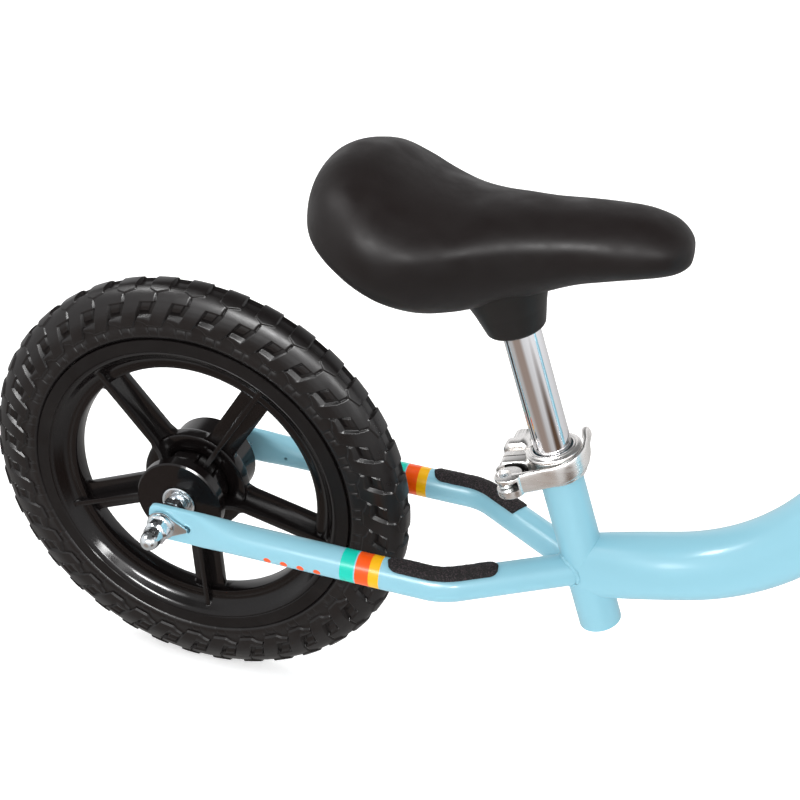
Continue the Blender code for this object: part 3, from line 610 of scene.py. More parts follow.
def rim(axes):
    """One-piece moulding: channel, web with five openings, T-section spokes and a ribbed hub."""
    made = lathe(mirrored(RIM_CURVE), axes.origin, Y_AXIS, 120, -Z_AXIS)
    half = [(24, 2.2), (24, 4.4), (33.6, 4.4), (34.6, 3.9), (35.0, 2.2), (86, 2.2)]
    web = lathe(mirrored(half), axes.origin, Y_AXIS, 96, -Z_AXIS)
    gaps = [opening(axes, SPOKE_PHASE + (2 * k + 1) * pi / SPOKES, 12) for k in range(SPOKES)]
    web = rounded(cut(web, *gaps), 0.45, 2, 0.7)
    near = [(6.6, -20.6), (11.3, -21), (11.3, -27.4), (11.9, -28), (27.6, -28), (28.6, -27.2), (28.6, -21),
            (27.6, -20.2), (23.6, -19.2), (23, -18.6), (23, 0)]
    far = [(23, 4), (28.6, 4.6), (28.6, 27.2), (27.6, 28), (11.9, 28), (11.3, 27.4), (11.3, 21), (6.6, 20.6)]
    hub = lathe(near + far, axes.origin, Y_AXIS, 72, -Z_AXIS)
    parts = [web, hub]
    for k in range(SPOKES):
        angle = SPOKE_PHASE + 2 * pi * k / SPOKES
        out, across = round_the_hub(angle)
        rib = mirrored([(20, -19.6), (25, -16.4), (30, -13.4), (38, -11.6), (60, -10), (95.4, -9.4)])
        outline = [axes.origin + (out * r + Y_AXIS * y - across * 1.75) * MM for r, y in rib]
        parts.append(extrude(outline, across, 3.5, 0.5))
        # A shallow frame on the barrel between each two ribs
        face, beside = round_the_hub(angle + pi / SPOKES)
        parts.append(block(axes.origin + (face * 20.6 - Y_AXIS * 11.6) * MM, (3.2, 6.2, 8.4),
                           (face, Y_AXIS, beside), 1.6, 3))
    return join(made, *parts)


def bearing(axes, sign):
    profile = [(4.5, 21.4), (10.9, 21.4), (10.9, 28.3), (10.3, 28.6), (9.6, 28.3), (9.2, 27.4), (8.6, 27.4),
               (8.2, 28.0), (7.4, 28.0), (7.0, 27.2), (5.2, 27.2), (4.5, 26.8)]
    return lathe([(r, y * sign) for r, y in profile], axes.origin, Y_AXIS, 56)


def cone(axes, sign):
    profile = [(4.4, 27.4), (6.2, 27.4), (6.6, 29.0), (6.6, 32.4), (6.1, 33.0), (6.1, 33.8), (7.4, 34.2, 6),
               (7.4, 38.8, 6), (6.9, 39.2), (6.4, 39.4), (6.4, 40.0), (7.6, 40.4, 6), (7.6, 44.4, 6),
               (7.0, 44.8), (4.4, 44.8)]
    return lathe([(p[0], p[1] * sign, *p[2:]) for p in profile], axes.origin, Y_AXIS, 60)


def tab_washer(axes, sign, ahead):
    """Flat washer whose tongue hooks into the frame end's small hole."""
    down = ahead.cross(Y_AXIS)
    outline = []
    for k in range(33):
        angle = radians(40 + 280 * k / 32)
        outline.append(axes.origin + (ahead * cos(angle) + down * sin(angle)) * 9.4 * MM)
    for along, side in ((16.0, -1.5), (17.0, -0.9), (17.2, 0), (17.0, 0.9), (16.0, 1.5)):
        outline.append(axes.origin + (ahead * along + down * side) * MM)
    start = Y_AXIS * sign * 51.0 * MM
    plate = extrude([p + start for p in outline], Y_AXIS * sign, 1.6, 0.25)
    hook = block(axes.origin + (ahead * 16.2 + Y_AXIS * sign * 50.3) * MM, (0.9, 1.8, 1.2),
                 (ahead, Y_AXIS, down), 0.2)
    hole = rod(axes.at(0, sign * 45), axes.at(0, sign * 60), 4.4)
    return cut(join(plate, hook), hole)


def dome_nut(axes, sign):
    """Flanged hexagon nut closed by a dome."""
    profile = [(4.4, 53.0), (8.0, 53.0), (8.7, 53.5), (8.7, 54.6), (7.8, 55.2), (7.1, 55.5, 6),
               (7.1, 60.6, 6), (6.5, 61.6), (6.1, 62.0), (6.05, 66.2), (5.8, 68.2), (5.2, 70.2), (4.2, 71.8),
               (2.9, 72.9), (1.4, 73.4), (0, 73.5)]
    return lathe([(0, 53.0 * sign)] + [(p[0], p[1] * sign, *p[2:]) for p in profile], axes.origin, Y_AXIS,
                 60)


def wheel(end, axes, ahead, holder):
    body = end + "_wheel"
    piece(end + "_tyre_tread", tyre(axes), "foam_tyre", body, [end + "_tyre"], 180)
    moulding = piece(end + "_rim_moulding", rim(axes), "black_gloss", body, [end + "_rim"], 30)
    # The flat ring next to the tyre is grained, the rest is polished
    moulding.data.materials.append(MATERIALS["black_satin"])
    for face in moulding.data.polygons:
        point = face.center - axes.origin
        if hypot(point.x, point.z) > 98.2 * MM and abs(face.normal.y) > 0.7:
            face.material_index = 1
    for sign, hand in SIDES:
        for part, made in (("bearing", bearing(axes, sign)), ("cone", cone(axes, sign)),
                           ("tab_washer", tab_washer(axes, sign, ahead)),
                           ("dome_nut", dome_nut(axes, sign))):
            rides = body if part == "bearing" else holder
            piece(f"{end}_{part}_{hand}_turned", made, "zinc", rides, [f"{end}_{part}_{hand}"])


# ---------------------------------------------------------------- frame

END_SIZES = [(0, 2.2, 8.4, 4), (0.5, 2.4, 9.8, 5), (1.5, 2.4, 11.0, 5), (3.2, 2.4, 11.7, 5), (6, 2.4, 12, 5),
             (9, 2.4, 12, 5), (16, 2.4, 12, 5), (24, 2.4, 12, 4.6), (30, 3.0, 11.95, 3.8),
             (36, 4.6, 11.6, 3.0), (42, 6.4, 11.0, 2.5), (50, 8.2, 10.2, 2.2), (58, 9.2, 9.75, 2.05),
             (66, STAY_R, STAY_R, 2)]


def stay_corners(sign):
    def point(x, y):
        return REAR.at(x, sign * y, STAY_DROP * x)

    return [point(-9, STAY_Y), point(STAY_BEND_X, 47.0), point(252.2, 0)]


def end_and_bend(start, ahead, rest, extra=1.0):
    """Path and sizes of a tube whose first 66 mm flatten into a slotted frame end."""
    rows = smooth(END_SIZES, 2)
    path = [start + ahead * row[0] * MM for row in rows]
    sizes = [(row[1], row[2] * extra if row[0] < 58 else row[2], max(2.0, row[3])) for row in rows]
    return path + rest, sizes + [(STAY_R, STAY_R, 2)] * len(rest)


def slots(axes, sign, ahead):
    across = ahead.cross(Y_AXIS)
    y = Y_AXIS * sign * STAY_Y * MM
    spots = [block(axes.origin + y - ahead * 10 * MM, (10, 12, 4.3), (ahead, Y_AXIS, across)),
             rod(axes.at(0, sign * STAY_Y - 12.5), axes.at(0, sign * STAY_Y + 12.5), 4.5)]
    for along, radius in ((16.2, 2.6), (45.0, 1.2)):
        spot = axes.origin + ahead * along * MM
        reach = sorted((sign * (STAY_Y - 12), sign * (STAY_Y + (12 if radius > 2 else -2))))
        spots.append(rod(spot + Y_AXIS * reach[0] * MM, spot + Y_AXIS * reach[1] * MM, radius, 24))
    return spots


def stay(sign):
    corners = stay_corners(sign)
    ahead = (corners[1] - corners[0]).normalized()
    path, sizes = end_and_bend(corners[0], ahead, filleted(corners, [34.0])[1:])
    made = sweep(path, sizes, Z_AXIS, WALL, 20)
    side = block(REAR.at(250, -sign * 29.85), (60, 30, 60), (X_AXIS, Y_AXIS, Z_AXIS))
    return cut(made, rod(*SEAT.along(-60, 60), SEAT_TUBE_R - 0.6), side, *slots(REAR, sign, ahead))


# The pads' rounded corners, the share of their width where they start to thin, and how fast they do
PAD_CORNER, PAD_EDGE, PAD_THIN = 7.0, 0.8, 1.35


def foot_grip(sign):
    """Gritty pad along the top of a stay's bend."""
    corners = stay_corners(sign)
    bend = filleted(corners, [34.0], 16)[1:-1]
    ahead, away = (corners[1] - corners[0]).normalized(), (corners[2] - corners[1]).normalized()
    start = corners[0] + ahead * 153.0 * MM
    lead = (bend[0] - start).length
    path = [start + ahead * lead * k / 14 for k in range(14)] + bend
    path += [bend[-1] + away * k * 1.6 * MM for k in range(1, 15)]
    along = [0.0]
    for a, b in zip(path, path[1:]):
        along.append(along[-1] + (b - a).length / MM)
    total = along[-1]
    rng = random.Random(5 + sign)
    half_angle, columns = radians(40), 15
    rings = []
    for p, (side, up), d in zip(path, path_frames(path, Z_AXIS), along):
        # The left pad's front end is cut nearly square
        nearest = min(d / PAD_CORNER, (total - d) / (PAD_CORNER if sign < 0 else 2.0), 1.0)
        share = max(0.12, sqrt(1 - (1 - nearest) ** 2))
        ring = []
        for radius, order in ((STAY_R + GAP + 0.05, 1), (STAY_R + 1.3, -1)):
            for k in range(columns):
                across = 2 * k / (columns - 1) - 1
                rise = 0.0
                if order < 0:
                    rise = rng.uniform(-0.14, 0.14) - PAD_THIN * max(0.0, abs(across) - PAD_EDGE)
                angle = half_angle * share * order * across
                ring.append(p + (side * sin(angle) + up * cos(angle)) * (radius + rise) * MM)
        rings.append(ring)
    return skin(rings)


MAIN_START, MAIN_VERTEX = (251.2, -6.2), (356.5, 18.6)


def main_path():
    start, vertex = (REAR.at(x, 0, z) for x, z in (MAIN_START, MAIN_VERTEX))
    return start, (vertex - start).normalized(), filleted([start, vertex, HEAD.at(up=229)], [130.0], 18)


def main_tube():
    """Big tube from the seat tube up to the head, its rear end pressed to the seat tube's width."""
    start, ahead, path = main_path()
    rows = smooth([(0, 13.1, 2.7), (8, 13.5, 2.6), (18, 15.0, 2.5), (32, 17.6, 2.2), (46, 19.3, 2.02),
                   (54, MAIN_TUBE_R, 2)], 3)
    line = [start + ahead * row[0] * MM for row in rows]
    sizes = [(row[1], MAIN_TUBE_R, max(2.0, row[2])) for row in rows]
    sizes += [(MAIN_TUBE_R, MAIN_TUBE_R, 2)] * (len(path) - 1)
    made = sweep(line + path[1:], sizes, Z_AXIS, WALL, segments=48)
    return cut(made, rod(*SEAT.along(-60, 60), SEAT_TUBE_R - 0.5),
               rod(*HEAD.along(150, 300), HEAD_TUBE_R - 0.5))


def bead(points, radius, seed):
    """A weld: a thin closed roll along points, swelling with each dab of the torch."""
    rng = random.Random(seed)
    count = len(points)
    rings = []
    for i, p in enumerate(points):
        tangent = (points[(i + 1) % count] - points[i - 1]).normalized()
        side = tangent.cross(Z_AXIS if abs(tangent.z) < 0.9 else X_AXIS).normalized()
        up = side.cross(tangent)
        size = radius * (1 + 0.16 * sin(i * 2 * pi / 4) + rng.uniform(-0.06, 0.06))
        rings.append([p + (side * cos(t) + up * sin(t)) * size * MM
                      for t in (2 * pi * k / 10 for k in range(10))])
    return skin(rings, loop=True)


def on_cylinder(point, direction, axes, radius):
    """Where a line from point, in metres, first meets the cylinder of that many millimetres, or None."""

    def flat(v):
        return v - axes.up * v.dot(axes.up)

    p, d = flat(point - axes.origin), flat(direction)
    a, b, c = d.dot(d), 2 * p.dot(d), p.dot(p) - (radius * MM) ** 2
    inside = b * b - 4 * a * c
    if inside < 0:
        return None
    return point + direction * ((-b - sqrt(inside)) / (2 * a))


def tube_bead(point, direction, side, up, half, axes, radius, seed, size=1.3, count=72):
    """The weld where a tube running along direction ends on a round tube."""
    found = []
    for k in range(count):
        angle = 2 * pi * k / count
        start = point + (side * cos(angle) * half[0] + up * sin(angle) * half[1]) * MM
        hit = on_cylinder(start, direction, axes, radius)
        if hit is None and half[0] > radius:
            reach = copysign(min(1.0, abs(cos(angle) * half[0]) / radius), cos(angle))
            start = point + (side * reach * (radius - 0.02) + up * sin(angle) * half[1]) * MM
            hit = on_cylinder(start, direction, axes, radius)
        if hit is not None:
            found.append(hit)
    return bead(found, size, seed)


def frame_tubes():
    piece("main_tube_swept", main_tube(), "blue_paint", "frame", ["main_tube"])
    tube = pipe(*SEAT.along(-43, 75), SEAT_TUBE_R, POST_R + GAP)
    slit = block(SEAT.at(-12, 0, 65), (4, 1.2, 20), SEAT.turned)
    piece("seat_tube_drawn", cut(tube, slit), "blue_paint", "frame", ["seat_tube"])
    head = pipe(*HEAD.along(HEAD_TUBE_LOW, HEAD_TUBE_HIGH), HEAD_TUBE_R, 15.2, edge=0.7)
    piece("head_tube_drawn", head, "blue_paint", "frame", ["head_tube"])
    for sign, hand, paint in ((-1, "right", "dotted_paint"), (1, "left", "striped_paint")):
        piece("stay_" + hand, stay(sign), paint, "frame", ["chainstay_" + hand])
        piece("foot_pad_" + hand, foot_grip(sign), "grit", "frame", ["foot_grip_" + hand], 60)
        corners = stay_corners(sign)
        toward = (corners[2] - corners[1]).normalized()
        side = toward.cross(Z_AXIS).normalized()
        weld = tube_bead(corners[1], toward, side, side.cross(toward), (STAY_R, STAY_R), SEAT, SEAT_TUBE_R,
                         3 + sign)
        piece("stay_weld_" + hand, weld, "blue_paint", "frame")
    start, ahead, path = main_path()
    up = Y_AXIS.cross(ahead) * -1
    weld = tube_bead(start + ahead * 40 * MM, -ahead, Y_AXIS, up, (13.4, MAIN_TUBE_R), SEAT, SEAT_TUBE_R, 11,
                     1.3)
    weld = cut(weld, rod(*SEAT.along(-60, 60), POST_R + GAP + 0.5))
    piece("main_tube_weld_rear", weld, "blue_paint", "frame")
    toward = (path[-1] - path[-2]).normalized()
    side = toward.cross(Y_AXIS).normalized()
    weld = tube_bead(path[-1] - toward * 60 * MM, toward, Y_AXIS, side, (HEAD_TUBE_R - 0.05, MAIN_TUBE_R),
                     HEAD, HEAD_TUBE_R, 12, 1.5)
    piece("main_tube_weld_front", weld, "blue_paint", "frame")
    cup = [(14.2, 0.3), (17.8, 0.3), (18.9, 3.6), (18.9, 4.6), (18.3, 7.6), (17.4, 8), (14.2, 8)]
    for name, sign, at in (("headset_cup_lower", -1, HEAD_TUBE_LOW),
                           ("headset_cup_upper", 1, HEAD_TUBE_HIGH)):
        made = lathe(soften([(r, h * sign) for r, h in cup], 0.5), HEAD.at(up=at), HEAD_UP)
        piece(name + "_turned", made, "chrome", "frame", [name])


# ---------------------------------------------------------------- clamps, lever and saddle


def collar(axes, base, height, inner, bolt, body, name, node):
    """Split clamp ring with a narrow flange, a lip over the tube's end, and two ears."""
    profile = [(inner, height / 2), (inner, 0.4), (inner + 0.4, 0), (inner + 3.0, 0), (inner + 3.2, 0.4),
               (inner + 3.2, height - 4.0), (inner + 3.6, height - 3.4), (inner + 3.6, height - 1.8),
               (inner + 3.2, height - 1.3), (inner + 1.4, height - 1.0), (inner + 1.0, height - 0.3),
               (inner + 0.5, height), (inner - 0.6, height), (inner - 1.1, height - 0.5),
               (inner - 1.1, height - 1.8), (inner, height - 1.9), (inner, height / 2)]
    ring = lathe(soften(profile, 0.3, 2)[:-1], axes.at(up=base), axes.up, 72)
    front, reach = inner + 1.3, 33.2
    ears = block(axes.at(-(front + reach) / 2, 0, bolt - 0.3), ((reach - front) / 2, 8, 5.6), axes.turned,
                 3.2, 6)
    slit = block(axes.at(-inner - 12, 0, base + height / 2), (14.5, 0.5, height), axes.turned)
    hole = rod(axes.at(PIVOT_F, -30, bolt), axes.at(PIVOT_F, 30, bolt), 2.8, 32)
    piece(name, cut(join(ring, ears), slit, hole), "alloy", body, [node])


# The lever's head: how far its middle lies ahead of the pivot, and its radius
HEAD_OFFSET, HEAD_ROUND = 2.6, 8.4
# The clamp bolts' heights, the cup's middle ahead of the lever's pivot, the arm's radius round the collar
BOLT_S, BAR_BOLT_S, CUP_OFFSET, ARM_R = 69.2, 318.5, 4.2, 18.2


def lever_head(grow=0.0, low=-4.4, high=7.6):
    """The cam head's round body between two heights from the lever's pivot."""
    ahead = PIVOT_F + HEAD_OFFSET
    return rod(*SEAT.along(LEVER_S + low, LEVER_S + high, ahead, PIVOT_Y),
               HEAD_ROUND + grow, 64, edge=0.6)


def lever():
    """Forked cam head, and a flat arm that climbs round the collar's near side and curls out."""
    rows = [(-24, -20.6, 1.7, 3.2, 5.8), (-17, -20.0, 1.8, 2.6, 6.1), (-11, -19.4, 2.1, 1.9, 6.3),
            (-4.5, -18.7, 2.5, 1.4, 6.2)]
    for step, degrees in enumerate(range(-81, 8, 11)):
        angle = radians(degrees)
        rows.append((ARM_R * cos(angle), ARM_R * sin(angle), 2.9 + 0.44 * step, 1.2, 6.0))
    rows += [(17.4, 7.6, 6.9, 1.4, 5.9), (16.0, 12.4, 7.6, 1.8, 5.7), (15.5, 16.0, 8.4, 1.8, 5.2),
             (16.0, 18.8, 9.3, 1.6, 4.2), (16.7, 20.4, 9.9, 0.9, 2.4)]
    rows = smooth(rows, 4)
    path = [SEAT.at(row[0], row[1], LEVER_S + row[2]) for row in rows]
    arm = sweep(path, [(row[3], row[4], 4.2) for row in rows], SEAT_UP, segments=28)
    slot = block(SEAT.at(PIVOT_F - 1.0, PIVOT_Y, BOLT_S), (10, 13, 2.6), SEAT.turned)
    swing = block(SEAT.at(PIVOT_F - 5, PIVOT_Y - 5, BOLT_S), (5, 5, 2.9), SEAT.turned)
    ears = block(SEAT.at(-20, 0, LEVER_S), (14, 8.4, 12), SEAT.turned)
    hole = rod(*SEAT.along(50, 80, PIVOT_F, PIVOT_Y), 2.7, 40)
    dish = rod(*SEAT.along(LEVER_S + 6.6, LEVER_S + 12, PIVOT_F, PIVOT_Y), 4.4, 40)
    made = cut(join(lever_head(), arm), slot, swing, hole, dish, ears)
    piece("lever_cast", made, "alloy", "seat_lever", ["seat_lever"], 38)


def seat_clamp():
    collar(SEAT, 61.4, 18.2, SEAT_TUBE_R + GAP, BOLT_S, "frame", "seat_collar_cast", "seat_collar")
    lever()
    pin = [(0, -4.6), (2.5, -4.6), (2.6, -4.2), (2.3, -3.8), (2.3, 6.0), (2.6, 6.3), (2.5, 6.6), (1.4, 6.6),
           (1.1, 5.2), (0, 5.2)]
    made = lathe(pin, LEVER_PIVOT, SEAT_UP, 40)
    piece("lever_pin_turned", made, "zinc", "frame", ["seat_lever_pin"])
    shank = rod(SEAT.at(PIVOT_F, PIVOT_Y + 2, BOLT_S), SEAT.at(PIVOT_F, 30, BOLT_S), 2.5, 32, SEAT_UP)
    eye = rod(*SEAT.along(BOLT_S - 2.2, BOLT_S + 2.2, PIVOT_F, PIVOT_Y), 4.6, 48, edge=0.4)
    hole = rod(*SEAT.along(50, 80, PIVOT_F, PIVOT_Y), 2.45, 40)
    piece("skewer_turned", cut(join(shank, eye), hole), "zinc", "frame", ["seat_skewer"])
    nut = [(2.8, 8.4), (6.6, 8.4, 4), (7.8, 9.4, 4), (8.0, 10.4, 4), (8.0, 15.6, 4), (7.6, 16.6, 4),
           (6.0, 17.2, 4), (5.6, 18.2, 4), (5.4, 29.2, 4), (4.8, 30.4), (3.6, 30.9), (2.8, 30.9)]
    made = lathe(nut, SEAT.at(PIVOT_F, 0, BOLT_S), Y_AXIS, 72, SEAT_UP)
    piece("skewer_nut_turned", made, "alloy", "frame", ["seat_skewer_nut"])
    # The lever's head turns in a thin dark cup, and the cup sits in a washer block against the near ear
    bore = (SEAT.at(PIVOT_F, -20, BOLT_S), SEAT.at(PIVOT_F, 0, BOLT_S), 2.8, 32)
    foot, top = SEAT.along(50, 80, PIVOT_F, PIVOT_Y)
    cup_foot, cup_top = SEAT.along(LEVER_S - 3.6, LEVER_S + 8.2, PIVOT_F + CUP_OFFSET, PIVOT_Y)
    away = SEAT_UP * 10 * MM
    front = block(SEAT.at(PIVOT_F, PIVOT_Y - 8.0, LEVER_S), (24, 12, 20), SEAT.turned)
    cup = cut(rod(cup_foot, cup_top, 10.6, 64), front, rod(cup_foot - away, cup_top + away, 9.4, 64),
              rod(foot, top, 8.95, 64), lever_head(GAP, -12, 12), rod(*bore))
    piece("cam_cup", cup, "black_plastic", "frame")
    washer = block(SEAT.at(PIVOT_F + 3, -11.8, BOLT_S - 0.4), (9.5, 3.4, 5.4), SEAT.turned, 1.0, 3)
    washer = cut(washer, rod(cup_foot - away, cup_top + away, 10.7, 64), rod(foot, top, 8.95, 64),
                 lever_head(GAP, -12, 12), rod(*bore))
    piece("cam_washer", washer, "alloy", "frame")


# x, half width, centre z, height above it, depth below it, from the rear axle
SADDLE = [
    (87.0, 0.6, 208.5, 0.6, 0.6), (87.5, 8, 208.5, 7, 6), (90, 24, 208.5, 18.5, 10.5), (95, 36, 208, 28, 15),
    (102.5, 46, 207, 34.2, 20), (113, 54, 205, 38.8, 25.5), (126, 60, 204, 38.8, 33.5),
    (140, 61, 203, 32.8, 40), (156, 56.5, 203, 24, 44.5), (172, 48, 204, 19, 45),
    (188, 40, 205.5, 17.5, 42.5), (204, 34.5, 207, 17.5, 38), (220, 31, 208, 17.2, 32),
    (238, 29, 209.5, 17.2, 25.5), (256, 28, 210.5, 16.8, 21.2), (271, 26.2, 211, 16, 18),
    (284, 22.5, 211, 13, 15), (291.6, 16.5, 210, 10, 11.5), (296.2, 8.5, 209, 6, 6.8),
    (297.2, 0.6, 208.5, 0.5, 0.5)]


def saddle_mesh():
    rings = []
    count = 72
    for x, half, centre, above, below in smooth(SADDLE, 5):
        half, above, below = max(half, 0.3), max(above, 0.3), max(below, 0.3)
        ring = []
        for k in range(count):
            angle = 2 * pi * (k + 0.5) / count
            c, s = cos(angle), sin(angle)
            y = copysign(abs(c) ** 0.9, c) * half
            z = copysign(abs(s) ** 0.9, s) * (above if s > 0 else below)
            ring.append(REAR.at(x, y, centre + z))
        rings.append(ring)
    return skin(rings)


# The pan's half width as a share of the saddle's, and its faces as shares of the depth below the middle
PAN_WIDE, PAN_LOW, PAN_HIGH = 0.52, 0.80, 0.62


def base_ring(row, grow, drop):
    x, half, centre, _, below = row
    wide = half * PAN_WIDE + grow
    low, high = centre - below * PAN_LOW - drop - grow, centre - below * PAN_HIGH + grow
    return [REAR.at(x, y, z) for y, z in ((-wide, low), (wide, low), (wide, high), (-wide, high))]


def base_plate(grow=0.0, drop=0.0):
    """Hard plate let into the saddle's underside."""
    rows = smooth(SADDLE[6:16], 3)
    rings = [base_ring(row, grow, drop) for row in rows]
    rings[0] = [v - X_AXIS * grow * MM for v in rings[0]]
    rings[-1] = [v + X_AXIS * grow * MM for v in rings[-1]]
    return skin(rings)


def seat():
    post = pipe(*SEAT.along(20, 174), POST_R, POST_R - 1.6, 96, 0.5)
    piece("seat_post_drawn", post, "chrome", "seat", ["seat_post"])
    body = cut(saddle_mesh(), base_plate(GAP, 40.0))
    saddle = piece("saddle_moulded", body, "saddle_skin", "seat", ["saddle"], 50)
    piece("saddle_pan", rounded(base_plate(), 0.8, 2, 0.9), "black_plastic", "seat", ["saddle_base"])
    profile = [(11.5, 2), (11.5, 0), (14.8, 0), (17.0, 1.4), (20.5, 14), (26, 30), (26.6, 38)]
    boss = lathe(soften(profile, 1.1) + [(11.5, 38)], SEAT.at(-2.0, 0, 156), SEAT_UP, 72)
    piece("saddle_boss_moulded", boss, "black_plastic", "seat", ["saddle_boss"])


# ---------------------------------------------------------------- fork and handlebar


def fork():
    for sign, hand in SIDES:
        foot, ankle = FRONT.at(0, sign * STAY_Y), HEAD.at(0, sign * 34, 152)
        ahead = Vector((ankle.x - foot.x, 0, ankle.z - foot.z)).normalized()
        start = foot - ahead * 9 * MM
        bend = filleted([start + ahead * 66 * MM, ankle, HEAD.at(up=170)], [20.0])[1:]
        path, sizes = end_and_bend(start, ahead, bend)
        made = sweep(path, sizes, HEAD_FWD, WALL, 20)
        made = cut(made, rod(*HEAD.along(130, 200), 15.0), *slots(FRONT, sign, ahead))
        piece("fork_blade_" + hand, made, "blue_paint", "fork", ["fork_leg_" + hand])
    steerer = pipe(*HEAD.along(151, 328), STEERER_R, POST_R + GAP)
    slit = block(HEAD.at(-12, 0, 318), (4, 1.2, 18), HEAD.turned)
    piece("steerer_drawn", cut(steerer, slit), "chrome", "fork", ["fork_steerer"])
    piece("crown_drawn", pipe(*HEAD.along(149, 176), 15.6, STEERER_R + GAP, edge=1.2), "blue_paint", "fork",
          ["fork_crown"])
    race = [(13.0, -12), (13.0, -15.4), (16.4, -15.4), (17.6, -13), (17.6, -11.6), (16.4, -8.6),
            (13.0, -8.6)]
    piece("crown_race_turned", lathe(race, HEAD.at(up=HEAD_TUBE_LOW), HEAD_UP), "zinc", "fork",
          ["crown_race"])
    lock = [(13.0, 12), (13.0, 8.6), (17.6, 8.6), (18.2, 9.2, 8), (18.2, 15.2, 8), (17.4, 16), (13.0, 16)]
    piece("headset_locknut_turned", lathe(lock, HEAD.at(up=HEAD_TUBE_HIGH), HEAD_UP), "chrome", "fork",
          ["headset_locknut"])
    collar(HEAD, 312.2, 18.2, STEERER_R + GAP, BAR_BOLT_S, "fork", "bar_collar_cast", "bar_collar")
    bolt = [(1.9, -12.2), (1.9, -13.3), (4.2, -13.4), (4.6, -13.0), (4.6, -8.6), (2.5, -8.5), (2.5, 12.4),
            (0, 12.5)]
    made = lathe([(0, -12.2)] + bolt, HEAD.at(PIVOT_F, 0, BAR_BOLT_S), Y_AXIS, 48)
    piece("bar_bolt_turned", made, "zinc", "fork", ["bar_collar_bolt"])
    nut = [(2.8, 8.5), (4.1, 8.5), (4.4, 8.9, 6), (4.4, 12.2, 6), (4.1, 12.6), (2.8, 12.6)]
    piece("bar_nut_turned", lathe(nut, HEAD.at(PIVOT_F, 0, BAR_BOLT_S), Y_AXIS, 48), "zinc", "fork",
          ["bar_collar_nut"])


BAR_HALF = [(0, 0, 436), (-1, 70, 438), (-14, 118, 448), (-30, 205, 454)]
GRIP_RIBS = 9


def handlebar():
    half = [HEAD.at(*row) for row in BAR_HALF]
    right = [HEAD.at(row[0], -row[1], row[2]) for row in BAR_HALF]
    path = filleted([right[3], right[2], right[1], half[1], half[2], half[3]], [60] * 4, 10)
    bar = sweep(path, [(STAY_R, STAY_R, 2)] * len(path), Z_AXIS, WALL, segments=36)
    piece("handlebar_bent", bar, "black_paint", "handlebar", ["handlebar"])
    post = pipe(*HEAD.along(236, 433), POST_R, POST_R - 1.6)
    notch = rod(HEAD.at(-1, -40, 438), HEAD.at(-1, 40, 438), STAY_R - 0.3, 48)
    piece("bar_post_drawn", cut(post, notch), "black_paint", "handlebar", ["handlebar_post"])
    weld = tube_bead(HEAD.at(-1, 0, 400), HEAD_UP, HEAD_FWD, Y_AXIS, (9.0, POST_R),
                     Axes(HEAD.at(-1, 0, 438), HEAD_FWD, Y_AXIS), STAY_R, 21, 1.2)
    piece("bar_weld", weld, "black_paint", "handlebar")
    ribs = []
    for k in range(GRIP_RIBS):
        at = -11 - k * 6.6
        waist = 14.2 - 0.5 * sin(pi * k / (GRIP_RIBS - 1))
        ribs += [(waist, at), (waist, at - 3.4), (waist - 0.8, at - 4.0), (waist - 0.8, at - 6.0)]
    profile = [(0, 3.2), (15.6, 3.2), (17.2, 1.6), (17.2, -1.6), (16.0, -3.4), (14.2, -5.0), *ribs,
               (14.2, -73), (16.9, -75.4), (17.2, -77), (16.9, -79.6), (14.0, -81.6), (STAY_R + 0.1, -82),
               (STAY_R + 0.1, 0.2), (0, 0.2)]
    for sign, hand in SIDES:
        end, inner = path[-1], path[-2]
        axis = (end - inner).normalized()
        tip = Vector((end.x, sign * end.y, end.z))
        axis = Vector((axis.x, sign * axis.y, axis.z))
        piece("grip_moulded_" + hand, lathe(profile, tip, axis, 48, Z_AXIS), "grip_rubber", "handlebar",
              ["grip_" + hand])


# ---------------------------------------------------------------- studio


# Name, place, aim and size in metres, and watts. The lamp above only lights, and the last three are
# bright strips that only show in reflections.
LAMPS = [("front", (0.0, -1.55, 1.15), (-0.15, 0, 0.25), (1.5, 0.5), 11),
         ("left", (-1.35, -0.35, 1.45), (-0.15, 0, 0.3), (0.7, 0.6), 6),
         ("right", (1.7, -0.6, 0.9), (0.1, 0, 0.3), (0.5, 1.0), 3),
         ("above", (0.1, 0.5, 2.3), (0, 0, 0.2), (2.0, 1.6), 30),
         ("strip_front", (-0.1, -1.5, 1.2), (-0.25, 0, 0.2), (0.7, 0.26), 34),
         ("strip_low", (0.95, -1.5, 0.95), (-0.25, 0, 0.15), (0.35, 0.25), 12),
         ("strip_left", (-1.3, -0.6, 1.6), (-0.1, 0, 0.3), (0.4, 0.3), 9)]


